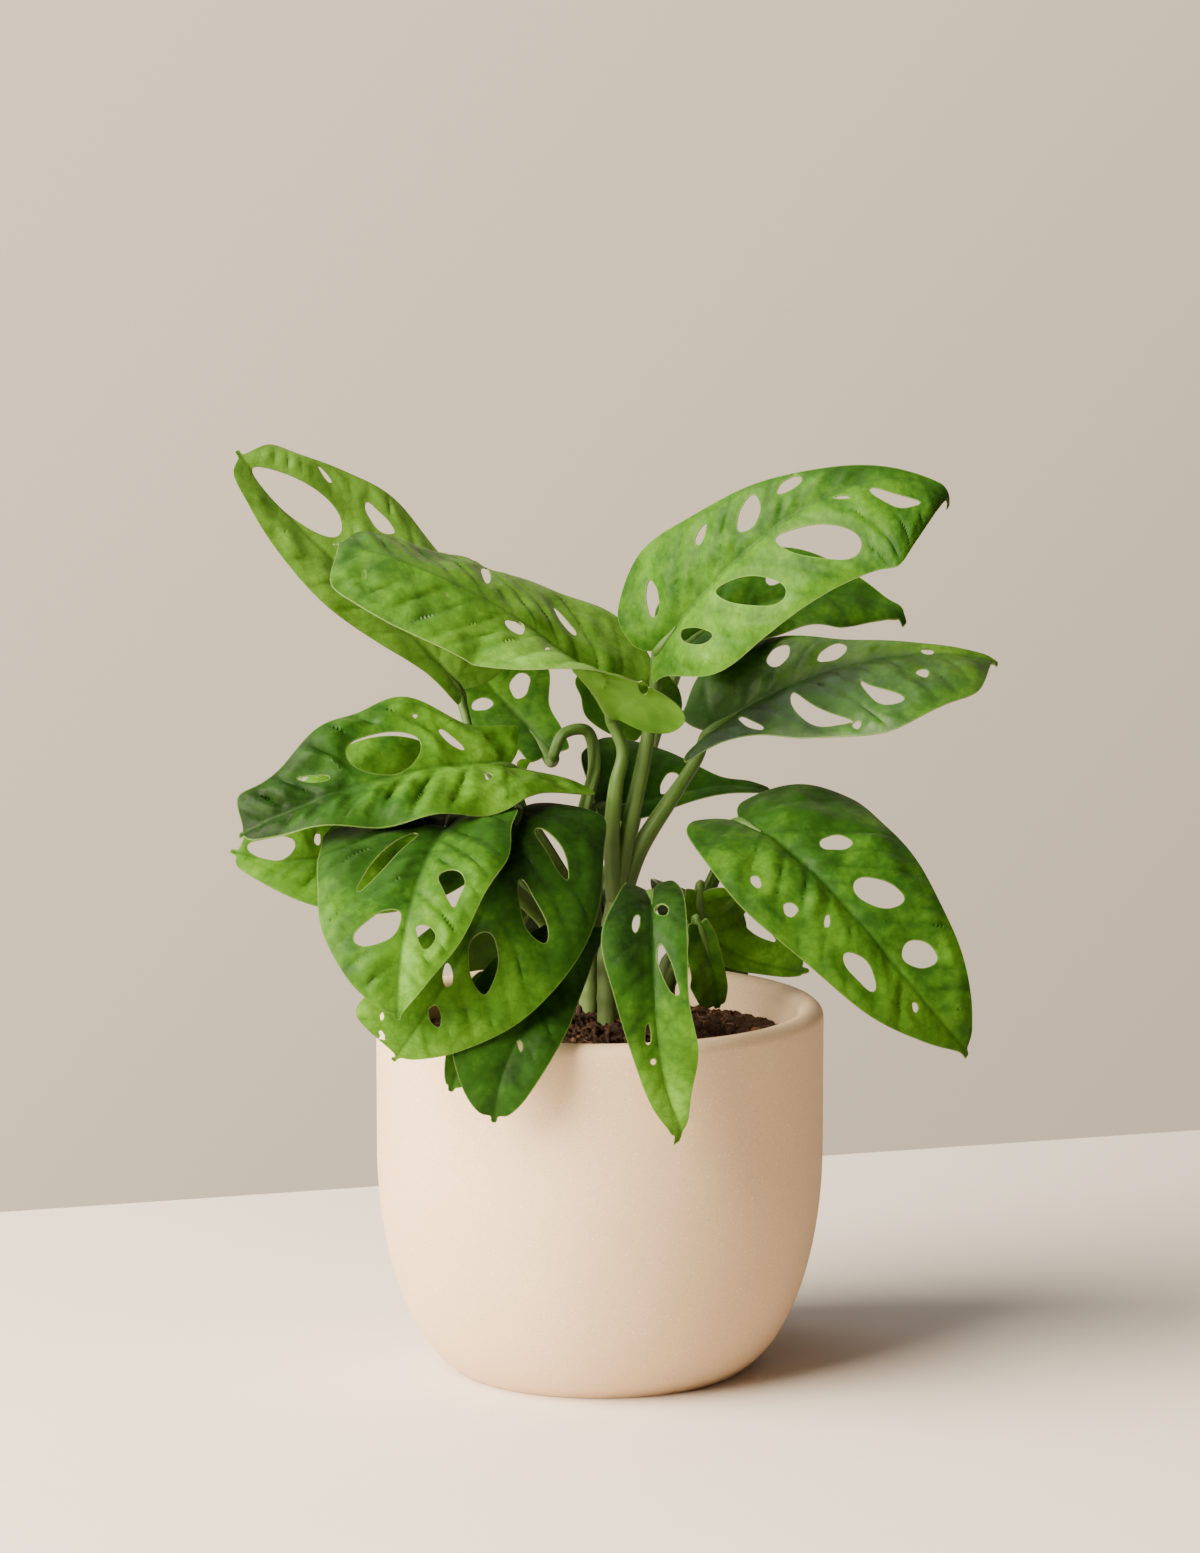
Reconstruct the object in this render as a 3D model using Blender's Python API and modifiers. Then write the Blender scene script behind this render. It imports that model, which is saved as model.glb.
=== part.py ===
"""Potted monstera adansonii: a round bisque pot, its soil, four climbing stems and their leaves.

Units are metres in Blender; the plant's measures below are written in millimetres and scaled once.
The origin is the centre of the pot's flat foot on the table, +Z up, and the plant's front looks to -Y.
"""
import math
import random

import bmesh
import bpy
import numpy as np
from mathutils import Vector
from mathutils.geometry import delaunay_2d_cdt

MM = 0.001
SEED = 7
GAP = 0.3              # clearance between pieces that touch in the real plant

# Pot, in millimetres
POT_RADIUS = 75.0      # straight upper part of the wall
POT_LIP_Z = 119.0      # height of the centre of the rounded lip
POT_LIP_TUBE = 4.35    # half the wall thickness at the lip
POT_FOOT_RADIUS = 49.5
POT_STRAIGHT_Z = 75.0  # the wall is straight above this height
POT_FLOOR = 9.0        # thickness of the bottom
POT_SEGMENTS = 44

# Soil, in millimetres
SOIL_EDGE_Z = 110.5    # level of the soil at the wall
SOIL_MOUND = 8.0       # extra height of the mound round the crown
SOIL_BUMP = 0.9
SOIL_RADIUS = POT_RADIUS - 2 * POT_LIP_TUBE - GAP

# Blades, in millimetres
BLADE = 0.8            # thickness of a leaf blade
KEEL = 1.5             # extra thickness of the midrib at the leaf's base
KEEL_WIDTH = 1.9
STATIONS = (0.0, 0.12, 0.3, 0.5, 0.7, 0.86, 0.95)  # where the half widths are given, as parts of the length
OUTLINE_STEP = 6.0
INNER_STEP = 9.6

# Each leaf: midrib points from the base to the tip, the way the face looks along it, the dihedral of the
# (left, right) halves along it, their curl, half widths at STATIONS, the (out, back) reach of the two base
# lobes, and the holes as (across, along, length, width, slant from the midrib in degrees, how much one end
# is pointed, how much the hole is bent). A leaf with a seat of 1 has its stalk on the face side.
LEAVES = {
    "leaf_top_left": dict(
        midrib=[(-46, 14, 227), (-73, 8, 256.5), (-98.5, 3, 282), (-119.5, 0, 309)],
        facing=[(0.25, -0.8, 0.5), (0.4, -0.8, 0.45)],
        fold=[(12, 5), (10, 5)], curl=[(-20, -12)],
        left=(5.5, 6.5, 12, 15.5, 13, 9.5, 7), right=(24.5, 27.5, 31, 34.5, 28, 18.5, 12),
        lobes=((5, 2.5), (18, 5)),
        holes=[(6.2, 84.6, 38, 12.6, -14, 0.3, -0.1), (23.6, 58.5, 14.4, 5.5, 6, 0.1, 0.4)]),
    "leaf_upper_front": dict(
        midrib=[(5.5, -12, 222), (-9.5, -20, 242), (-39, -28, 264), (-87.5, -24, 281.5)],
        facing=[(-0.2, -0.45, 0.87), (-0.2, -0.45, 0.87), (-0.1, -0.45, 0.87)],
        fold=[(72, 18), (30, 6), (-22, -8), (-28, -14), (-20, -12)], curl=[(10, -15), (25, -25)],
        left=(30, 27, 28, 28, 25, 20.5, 16), right=(23.5, 36, 35, 36, 31.5, 23, 15), lobes=((20, 8), (14, 12)),
        holes=[(21.2, 62.3, 21.9, 3.4, 94, 0.5, 0.5), (-3.9, 49.4, 7.6, 6, -32, 0.1, 0.5),
               (17.1, 31.4, 12.8, 4.5, 42, 0.4, 0.1), (-6, 36.6, 13, 1.8, -68, 0.4, 0.4),
               (-25, 12, 12, 3, -54, 0, -0.2)]),
    "leaf_top_right": dict(
        midrib=[(18, -8, 242.5), (38, -20, 268.5), (65, -28, 292), (87, -30, 301.5), (116, -32, 296.5)],
        facing=[(-0.45, -0.75, 0.45), (-0.2, -0.8, 0.55), (-0.05, -0.75, 0.65)],
        fold=[(20, 15), (0, 10)], curl=[(-35, -30)],
        left=(21, 31.5, 25.5, 17, 8.5, 3, 1.5), right=(11, 25.5, 29.5, 31, 32.5, 32.5, 22),
        lobes=((10, 4), (9, 6)),
        holes=[(-12.9, 11.8, 12.7, 5.4, 118, 0, 0.1), (-15.9, 39, 7.4, 3.5, -34, 0.2, 0.1),
               (-9.4, 56.3, 12.5, 7.2, 144, 0, 0.1), (-9.8, 72.1, 8.8, 4.1, 177, 0.1, 0),
               (7.6, 105.2, 19.9, 4.8, 16, 0.1, -1.2), (14.1, 73, 33.2, 11.7, -145, 0.3, 0.2),
               (13.3, 42.8, 28.8, 9.7, -137, 0.3, -0.1), (9.9, 17.4, 15.4, 5.6, -131, 0.1, 0.2)]),
    "leaf_behind_top_right": dict(
        midrib=[(30, 18, 243.5), (57, 26, 256), (82.5, 28, 257.5), (104, 22, 251)],
        facing=[(0, -0.7, 0.7)],
        fold=[(5, 10), (10, 15)], curl=[(-20, -20)],
        left=(17, 22, 23, 21, 10.5, 3, 2), right=(16, 17, 15.5, 15, 17, 9, 3.5), lobes=((9, 6), (9, 6)),
        holes=[(-9, 36, 9, 5, -40, 0.25, 0)]),
    "leaf_right": dict(
        midrib=[(35.5, 2, 215), (52, 4, 225), (79, 0, 237), (132, -10, 239.5)],
        facing=[(-0.1, -0.6, 0.8), (0, -0.6, 0.8)],
        fold=[(15, 20), (10, 15)], curl=[(-25, -20)],
        left=(12, 23.5, 21.5, 11, 5, 3, 2), right=(10, 17, 30, 37.5, 38, 27, 18), lobes=((12, 4), (9, 13)),
        holes=[(-12.4, 31.2, 8.9, 6.8, -50, 0.1, -0.1), (-6.3, 47.5, 10.1, 6.6, 166, 0.3, 0.1),
               (12.7, 80, 5.1, 3.8, 55, 0.6, 0.2), (20.3, 65.3, 22, 5, -140, 0.9, 1.2),
               (21.1, 41.3, 34.6, 6.8, 48, 0.1, -1.6), (10.2, 14, 15, 3, -113, 0, 0.6)]),
    "leaf_behind_stems": dict(
        midrib=[(9.5, 26, 233), (11, 34, 221), (16.5, 34, 207)],
        facing=[(0, -0.85, 0.5), (0, -0.95, 0.2)],
        fold=[(8, 8)], curl=[(-20, -20)],
        left=(13, 13, 14, 16, 16, 14, 10), right=(12, 18, 17, 17, 13, 8, 4), lobes=((9, 4), (9, 4)),
        holes=[]),
    "leaf_left_back": dict(
        midrib=[(-18, 16, 206), (-29, 30, 217.5), (-38, 38, 226), (-47, 44, 240)],
        facing=[(0.2, -0.85, 0.45), (0.1, -0.85, 0.5)],
        fold=[(8, 8)], curl=[(-20, -20)], seat=1,
        left=(8, 9, 14, 15, 9.5, 7, 5), right=(8, 9, 11, 19.5, 21, 18, 13), lobes=((7, 3), (7, 2)),
        holes=[(-6.8, 30.3, 7.6, 5.1, -71, 0.2, -0.2), (7.9, 28.3, 10.5, 6.6, -133, 0.1, 0)]),
    "leaf_left_wavy": dict(
        midrib=[(-29, -20, 207), (-60, -36, 207.5), (-91.5, -46, 199.5), (-118.5, -44, 187)],
        facing=[(0.05, -0.5, 0.87), (0, -0.6, 0.8)],
        fold=[(5, 30), (0, 20)], curl=[(-10, -25)],
        left=(16, 24.5, 25, 21.5, 14.5, 7, 4), right=(15, 17, 29.5, 27, 20, 14, 11), lobes=((13, 26), (15, 5)),
        holes=[(9.3, 42.9, 24.9, 15.8, 5, 0.1, 0.2), (9.6, 19.3, 11, 3.4, -120, 0, -0.5),
               (8.1, 68.2, 11.1, 2.5, 25, 0.4, 0.3), (1, -5.3, 6.2, 3.3, 146, 0.5, 0.1)]),
    "leaf_left_under": dict(
        midrib=[(-43, -6, 189), (-66, -20, 182.5), (-92, -30, 177.5), (-121.5, -30, 180)],
        facing=[(0, -0.75, 0.65), (0, -0.8, 0.6)],
        fold=[(8, 38), (8, 26), (8, 8)], curl=[(-20, -20)],
        left=(20, 23.5, 26.5, 25, 18, 9.5, 5), right=(18, 30, 36, 33.5, 25, 17, 11), lobes=((11, 5), (11, 5)),
        holes=[(3.8, 72.5, 17, 7.6, -8, 0.3, 0.3)]),
    "leaf_front_left": dict(
        midrib=[(-47.5, -36, 193.5), (-53, -58, 188.5), (-60.5, -86, 171.5), (-64.5, -98, 135.5)],
        facing=[(-0.1, -0.55, 0.83), (-0.1, -0.85, 0.5), (-0.1, -0.98, 0.2)],
        fold=[(15, 12), (8, 8)], curl=[(-25, -30)],
        left=(21, 22.5, 26, 23, 18.5, 9.5, 3), right=(40, 42, 39, 33.5, 28, 17, 6), lobes=((11, 3), (13, 3)),
        holes=[(8.4, 66.5, 17.4, 9, -133, 0, -0.2), (-11.9, 48.3, 15.9, 7.1, 161, -0.5, -0.2),
               (12.4, 36.8, 35.3, 4.9, -162, 0.1, -0.2), (-6.5, 67.3, 8.8, 5.6, 151, 0.2, -0.5)]),
    "leaf_front_large": dict(
        midrib=[(-26.5, -29, 194.5), (-32.5, -62, 176), (-48, -82, 148), (-66.5, -86, 120.5)],
        facing=[(0.1, -0.85, 0.5), (0, -1, 0.15)],
        fold=[(6, 6)], curl=[(-20, -20)],
        left=(27.5, 30, 34, 33.5, 27.5, 16, 6), right=(2, 3, 3.5, 9, 17, 19, 17.8), lobes=((13, 5), (3, 1.5)),
        holes=[(-13.9, 21.1, 22.3, 5.5, 140, -0.2, -0.1), (-13.8, 45.1, 23.3, 6.4, 138, 0.3, 0.3),
               (-7.5, 68, 20.2, 9.3, -29, 0.3, -0.1), (0.5, 77.1, 7.9, 3.2, 149, 0, 0),
               (-3, 90.4, 7.2, 3.7, -47, 0.1, -0.1)]),
    "leaf_over_rim_left": dict(
        midrib=[(-5, -44, 156.5), (-15.5, -66, 142), (-28, -83, 124), (-34, -85, 100)],
        facing=[(0.1, -0.9, 0.4), (0, -1, 0.05)],
        fold=[(10, 10), (12, 12)], curl=[(-20, -20)],
        left=(7, 7, 9.5, 12.5, 12.5, 9.5, 5), right=(9, 13, 18.5, 21, 21, 12.5, 5.5), lobes=((7, 3), (8, 4)),
        holes=[]),
    "leaf_over_rim_tip": dict(
        midrib=[(-32.5, -50, 138.5), (-40.5, -67, 127), (-48.5, -70, 107)],
        facing=[(0.1, -0.9, 0.4), (0, -1, 0.05)],
        fold=[(10, 10), (12, 12)], curl=[(-20, -20)],
        left=(8, 9, 10, 9, 7, 5, 2), right=(8, 9, 9, 8, 6, 4, 2), lobes=((6, 2), (6, 2)),
        holes=[]),
    "leaf_over_rim_front": dict(
        midrib=[(16, -58, 172), (17, -80, 161.5), (18, -90, 133), (28, -90, 96.5)],
        facing=[(0, -0.85, 0.5), (0, -1, 0.1)],
        fold=[(15, 20), (15, 15)], curl=[(-30, -25)],
        left=(8.5, 10.5, 11, 11, 12.5, 7, 3), right=(8, 11.5, 17, 13, 8.5, 6, 3.5), lobes=((7, 4), (8, 3)),
        holes=[(-2.9, 16, 6.5, 3.9, 152, 0, 0.1), (5.6, 22.5, 7.1, 2.3, 10, 0.1, 0),
               (-4.4, 37.9, 18, 4.1, -18, 0, -0.4), (2.9, 58, 7.2, 2, -175, 0.2, -0.1)]),
    "leaf_right_back": dict(
        midrib=[(33.5, 2, 159.5), (39, 8, 143.5), (55.5, 12, 134), (70.5, 10, 132.5)],
        facing=[(0.1, -0.7, 0.7), (0.1, -0.8, 0.55)],
        fold=[(8, 8)], curl=[(-20, -20)],
        left=(11, 14, 18, 20, 17, 11, 4), right=(5, 6, 8, 6.5, 4, 3, 2), lobes=((8, 3), (5, 2)),
        holes=[(-12.5, 33, 16, 6, 23, 0.4, 0.1)]),
    "leaf_front_right": dict(
        midrib=[(45.5, -10, 187.5), (68.5, -34, 175), (91, -48, 151.5), (121.5, -46, 114.5)],
        facing=[(0.3, -0.75, 0.6), (0.25, -0.92, 0.3)],
        fold=[(8, 15), (8, 12)], curl=[(-25, -25)],
        left=(24, 38.5, 36, 32, 24, 14, 6), right=(20.5, 26.5, 29.5, 25.5, 20, 10, 3),
        lobes=((11, 7), (13, 8)),
        holes=[(-14.2, 33.1, 11.1, 7.4, 117, 0, -0.2), (-12.1, 57, 17.6, 10.4, -36, 0, -0.2),
               (-9, 82.1, 12.3, 9.4, -35, 0.1, 0), (12, 74.6, 14.6, 7, 1, 0.3, 0.2),
               (19.3, 31.2, 5.4, 3.2, 22, 0.2, -0.2), (17, 45.5, 5.4, 4.7, 50, 0.1, 0)]),
    "leaf_small_by_soil": dict(
        midrib=[(33, -34, 155.5), (37, -30, 140.5), (39, -20, 124.5)],
        facing=[(0.2, -0.9, 0.3), (0.2, -1, 0.1)],
        fold=[(15, 15)], curl=[(-20, -20)],
        left=(3, 4, 4, 4, 4, 3, 2), right=(5, 7, 8, 9, 8, 6, 3), lobes=((3, 1.5), (4, 2)),
        holes=[]),
    "leaf_narrow_back": dict(
        midrib=[(-0.5, 18, 188), (17, 30, 188), (35.5, 36, 191), (60, 38, 188.5)],
        facing=[(0, -0.6, 0.8), (0, -0.35, 0.94)],
        fold=[(30, -15), (5, 5)], curl=[(-20, -20)],
        left=(18, 24, 28, 20, 5, 3, 2), right=(6, 7, 7, 6, 5, 4, 2), lobes=((8, 2), (5, 2)),
        holes=[(-4.3, 29.8, 10.6, 4.3, 136, 0.4, 0.1)]),
    "leaf_back_left": dict(
        midrib=[(-12, 36, 162), (-20, 56, 151), (-31, 72, 132), (-40, 82, 107)],
        facing=[(-0.35, 0.55, 0.7), (-0.35, 0.9, 0.3)],
        fold=[(10, 10)], curl=[(-25, -25)],
        left=(20, 25, 28, 28, 25, 15, 5.5), right=(14, 18, 23, 24, 20, 12, 5), lobes=((10, 5), (8, 2)),
        holes=[(11, 34, 16, 6, 40, 0.25, 0), (10, 58, 13, 5, 40, 0.25, 0)]),
    "leaf_back_right": dict(
        midrib=[(33, 40, 152), (36, 62, 146), (41, 84, 124), (44, 92, 92)],
        facing=[(0.3, 0.6, 0.75), (0.3, 0.95, 0.2)],
        fold=[(10, 10)], curl=[(-25, -25)],
        left=(14, 18, 19, 18, 15, 9, 4), right=(10, 13, 13.5, 12.5, 10.5, 7, 3.5), lobes=((8, 4), (7, 3)),
        holes=[(-9, 30, 13, 5, -40, 0.25, 0), (-8, 50, 10, 4, -35, 0.25, 0), (6.5, 30, 9, 3.5, 35, 0.25, 0)]),
}

# Each climbing stem: its foot in the soil, the fat lower stem, then one stalk a leaf. A stalk is its way
# points, its radii at the lower and the upper end, and the leaf it carries.
STEMS = {
    "vine_front": dict(
        foot=(3, -7), radius=4.4, trunk=[(3, -7, 140), (6, -8, 164)], top_radius=3.4,
        stalks=[
            ([(5, -8, 160), (4, -10.5, 181), (5.5, -12, 199), (7.5, -11, 210)], 3.2, 2.0, "leaf_upper_front"),
            ([(6, -8, 160), (9, -7.5, 180), (14.5, -6.8, 206), (17.5, -6.8, 226)], 3.2, 2.1, "leaf_top_right"),
            ([(6, -7, 158), (13, -5, 176), (24, -1, 193), (32, 3, 205)], 3.9, 2.1, "leaf_right"),
            ([(3, -9, 146), (8, -26, 156), (13, -44, 165)], 2.6, 1.7, "leaf_over_rim_front"),
        ]),
    "vine_left": dict(
        foot=(-16, -5), radius=4.6, trunk=[(-16, -5, 140), (-17, -8, 158)], top_radius=3.6,
        stalks=[
            ([(-17, -8, 154), (-22, -11, 174), (-26, -17, 187)], 3.0, 1.9, "leaf_front_large"),
            ([(-17, -9, 152), (-31, -25, 168), (-42, -33, 180)], 3.0, 1.9, "leaf_front_left"),
            ([(-17, -7, 154), (-24, -6, 182), (-28, -10, 197)], 3.0, 1.9, "leaf_left_wavy"),
            ([(-17, -5, 150), (-30, 2, 166), (-41, 2, 180)], 2.8, 1.8, "leaf_left_under"),
            ([(-16, -7, 136), (-10, -24, 142), (-6, -34, 150)], 2.6, 1.6, "leaf_over_rim_left"),
            ([(-17, -7, 130), (-24, -26, 131), (-31, -40, 134)], 2.4, 1.5, "leaf_over_rim_tip"),
        ]),
    "vine_back": dict(
        foot=(-3, 18), radius=4.6, trunk=[(-3, 18, 140), (-3, 17, 160)], top_radius=3.6,
        stalks=[
            ([(-5, 16, 150), (-22, 10, 180), (-40, 9, 205), (-45.5, 15, 220)], 2.8, 1.6, "leaf_top_left"),
            ([(-3, 17, 154), (-6, 17, 180), (-2, 15, 200), (-4, 12, 213), (-12, 9, 213)], 2.8, 1.9,
             "leaf_left_back"),
            ([(-2, 18, 152), (-1, 22, 170), (-1, 22, 182)], 2.8, 1.8, "leaf_narrow_back"),
            ([(-1, 19, 152), (5, 38, 168), (9, 56, 194), (10, 54, 217), (10, 42, 230)], 2.8, 1.6, "leaf_behind_stems"),
            ([(0, 19, 150), (9, 42, 168), (17, 60, 198), (25, 53, 224), (29, 35, 238)], 2.8, 1.7, "leaf_behind_top_right"),
            ([(-5, 20, 138), (-8, 27, 145), (-9.5, 32, 151)], 2.6, 1.7, "leaf_back_left"),
        ]),
    "vine_right": dict(
        foot=(22, 4), radius=4.2, trunk=[(22, 4, 128), (24, 6, 140)], top_radius=3.2,
        stalks=[
            ([(24, 6, 136), (36, 22, 156), (44, 16, 176), (45, 2, 183)], 2.8, 1.9, "leaf_front_right"),
            ([(24, 6, 134), (28, 9, 146), (32, 10, 154)], 2.6, 1.6, "leaf_right_back"),
            ([(23, 3, 128), (27, -14, 142), (31, -26, 150)], 2.2, 1.3, "leaf_small_by_soil"),
            ([(24, 8, 132), (29, 24, 138), (32, 34, 145)], 2.6, 1.7, "leaf_back_right"),
        ]),
}

COLOURS = {
    "pot": ((0.80, 0.68, 0.53, 1.0), 0.75),
    "soil": ((0.055, 0.030, 0.016, 1.0), 0.95),
    "vine": ((0.17, 0.28, 0.07, 1.0), 0.5),
    "leaf": ((0.09, 0.22, 0.03, 1.0), 0.42),
}


def clear_scene():
    for ob in list(bpy.data.objects):
        bpy.data.objects.remove(ob, do_unlink=True)


def collection(name):
    col = bpy.data.collections.new(name)
    bpy.context.scene.collection.children.link(col)
    return col


def material(name, kind):
    colour, rough = COLOURS[kind]
    mat = bpy.data.materials.new(name)
    mat.use_nodes = True
    shader = mat.node_tree.nodes["Principled BSDF"]
    shader.inputs["Base Color"].default_value = colour
    shader.inputs["Roughness"].default_value = rough
    shader.inputs["Metallic"].default_value = 0.0
    mat.diffuse_color = colour
    return mat


def make_object(name, verts, faces, col, kind=None):
    """A mesh object from millimetre points, each face a list of corner numbers."""
    mesh = bpy.data.meshes.new(name)
    mesh.from_pydata([tuple(float(c) * MM for c in v) for v in verts], [], [tuple(f) for f in faces])
    mesh.update()
    ob = bpy.data.objects.new(name, mesh)
    col.objects.link(ob)
    if kind:
        mesh.materials.append(material(name + "_mat", kind))
    return ob


def apply_modifiers(ob):
    bpy.context.view_layer.update()
    graph = bpy.context.evaluated_depsgraph_get()
    mesh = bpy.data.meshes.new_from_object(ob.evaluated_get(graph))
    old = ob.data
    ob.modifiers.clear()
    ob.data = mesh
    mesh.name = ob.name
    bpy.data.meshes.remove(old)


def triangulate(ob):
    mod = ob.modifiers.new("triangles", "TRIANGULATE")
    mod.min_vertices = 4
    apply_modifiers(ob)


def smooth_line(points, per_span):
    """A Catmull-Rom line through the points, per_span samples a span."""
    p = np.asarray(points, float)
    p = np.vstack([2 * p[0] - p[1], p, 2 * p[-1] - p[-2]])
    t = np.linspace(0, 1, per_span, endpoint=False)[:, None]
    parts = []
    for i in range(1, len(p) - 2):
        a, b, c, d = p[i - 1], p[i], p[i + 1], p[i + 2]
        cubic = 2 * b + (c - a) * t + (2 * a - 5 * b + 4 * c - d) * t ** 2 + (3 * b - a - 3 * c + d) * t ** 3
        parts.append(0.5 * cubic)
    parts.append(p[-2][None])
    return np.vstack(parts)


def along(table, k):
    """Values given at even steps along the leaf, read at the parts k of its length."""
    t = np.asarray(table, float)
    if len(t) == 1:
        return np.broadcast_to(t[0], np.shape(k) + t[0].shape)
    steps = np.linspace(0, 1, len(t))
    return np.stack([np.interp(k, steps, t[:, i]) for i in range(t.shape[1])], -1)


class Blade:
    """The curved surface a leaf lies on, from flat leaf measures (across, along) to the plant's space."""

    def __init__(self, spec):
        self.spec = spec
        mid = np.asarray(spec["midrib"], float)
        chord = np.r_[0, np.cumsum(np.linalg.norm(np.diff(mid, axis=0), axis=1))]
        self.coef = np.linalg.solve(np.vander(chord / chord[-1], increasing=True), mid)
        self.t = np.linspace(0, 1, 240)
        run = np.linalg.norm(np.diff(self.curve(self.t), axis=0), axis=1)
        self.run = np.r_[0, np.cumsum(run)]
        self.length = float(self.run[-1])

    def curve(self, t):
        return sum(self.coef[k] * t[..., None] ** k for k in range(len(self.coef)))

    def frame(self, y):
        """Point, tangent, face normal and cross direction of the midrib at y millimetres."""
        t = np.interp(np.clip(y, 0, self.length), self.run, self.t)
        tangent = sum(k * self.coef[k] * t[..., None] ** (k - 1) for k in range(1, len(self.coef)))
        tangent = tangent / np.linalg.norm(tangent, axis=-1, keepdims=True)
        over = np.where(y < 0, y, np.where(y > self.length, y - self.length, 0))
        point = self.curve(t) + tangent * over[..., None]
        normal = along(self.spec["facing"], np.clip(y / self.length, 0, 1))
        normal = normal - (normal * tangent).sum(-1, keepdims=True) * tangent
        normal = normal / np.linalg.norm(normal, axis=-1, keepdims=True)
        return point, tangent, normal, np.cross(tangent, normal)

    def surface(self, x, y):
        """x across the leaf (positive to the right, seen from its face), y along it."""
        x, y = np.broadcast_arrays(np.asarray(x, float), np.asarray(y, float))
        point, tangent, normal, cross = self.frame(y)
        k = np.clip(y / self.length, 0, 1)
        side = (x >= 0).astype(int)[..., None]
        fold = np.radians(np.take_along_axis(along(self.spec["fold"], k), side, -1))[..., 0]
        bend = np.radians(np.take_along_axis(along(self.spec["curl"], k), side, -1))[..., 0] / 30.0
        bend = np.where(np.abs(bend) < 1e-6, 1e-6, bend)
        reach = np.abs(x)
        out = (np.sin(fold + bend * reach) - np.sin(fold)) / bend
        rise = (np.cos(fold) - np.cos(fold + bend * reach)) / bend
        return point + cross * (np.sign(x) * out)[..., None] + normal * rise[..., None]

    def normals(self, x, y):
        dx = self.surface(x + 0.4, y) - self.surface(x - 0.4, y)
        dy = self.surface(x, y + 0.4) - self.surface(x, y - 0.4)
        n = np.cross(dy, dx)
        n = n / np.linalg.norm(n, axis=-1, keepdims=True)
        face = self.frame(np.asarray(y, float))[2]
        return n * np.sign((n * face).sum(-1, keepdims=True))

    def half(self, side):
        """One half of the margin from the notch at the base to the tip."""
        widths = self.spec[side]
        out, back = self.spec["lobes"][0 if side == "left" else 1]
        pts = [(0, 0), (out * 0.45, -back * 0.8), (out, -back), (max(widths[0], out), -back * 0.2)]
        pts += [(w, k * self.length) for w, k in zip(widths[1:], STATIONS[1:])]
        pts += [(0, self.length)]
        return smooth_line(pts, 8)

    def outline(self):
        right = self.half("right")
        left = self.half("left") * [-1, 1]
        return np.vstack([resample(right, OUTLINE_STEP)[:-1], resample(left[::-1], OUTLINE_STEP)[:-1]])

    def holes(self):
        loops = []
        for across, y, length, width, slant, egg, bean in self.spec["holes"]:
            count = 10 if length > 16 else 8
            if length < 7:
                count = 6
            th = np.linspace(0, 2 * math.pi, count, endpoint=False) + 0.2
            a = math.radians(slant)
            lengthwise = np.array([math.sin(a), math.cos(a)])
            crosswise = np.array([math.cos(a), -math.sin(a)])
            r1 = length / 2 * np.cos(th)
            r2 = width / 2 * (np.sin(th) * (1 - egg * np.cos(th)) + bean * (np.cos(th) ** 2 - 0.5))
            loops.append(np.array([across, y]) + r1[:, None] * lengthwise + r2[:, None] * crosswise)
        return loops


def resample(line, step):
    """Even steps along a line, both ends kept."""
    run = np.r_[0, np.cumsum(np.linalg.norm(np.diff(line, axis=0), axis=1))]
    count = max(2, int(round(run[-1] / step)))
    s = np.linspace(0, run[-1], count + 1)
    return np.stack([np.interp(s, run, line[:, i]) for i in range(2)], -1)


def inside(points, loop):
    """Which points lie inside a closed loop, by crossings of a ray."""
    x, y = points[:, 0], points[:, 1]
    hit = np.zeros(len(points), bool)
    for (ax, ay), (bx, by) in zip(loop, np.roll(loop, -1, axis=0)):
        if ay == by:
            continue
        cut = (ay > y) != (by > y)
        hit ^= cut & (x < (bx - ax) * (y - ay) / (by - ay) + ax)
    return hit


def clearance(points, loop):
    """Distance of each point to the nearest edge of a closed loop."""
    best = np.full(len(points), 1e9)
    for a, b in zip(loop, np.roll(loop, -1, axis=0)):
        d = b - a
        t = np.clip(((points - a) @ d) / max(d @ d, 1e-9), 0, 1)
        best = np.minimum(best, np.linalg.norm(points - a - t[:, None] * d, axis=1))
    return best


def inner_points(blade, outline, holes):
    """A staggered net of points inside the margin, with two rows beside the midrib."""
    lo, hi = outline.min(0), outline.max(0)
    rows = np.arange(lo[1], hi[1], INNER_STEP * 0.87)
    pts = []
    for i, y in enumerate(rows):
        for x in np.arange(lo[0] + (i % 2) * INNER_STEP / 2, hi[0], INNER_STEP):
            if abs(x) > 4.5:
                pts.append((x, y))
    for y in np.arange(1.5, blade.length - 6, 9.0):
        pts += [(0, y), (-KEEL_WIDTH, y + 4.5), (KEEL_WIDTH, y + 4.5)]
    pts = np.array(pts)
    keep = inside(pts, outline) & (clearance(pts, outline) > np.where(np.abs(pts[:, 0]) < 3, 1.4, 2.6))
    for loop in holes:
        keep &= ~inside(pts, loop) & (clearance(pts, loop) > 1.8)
    return pts[keep]


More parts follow.
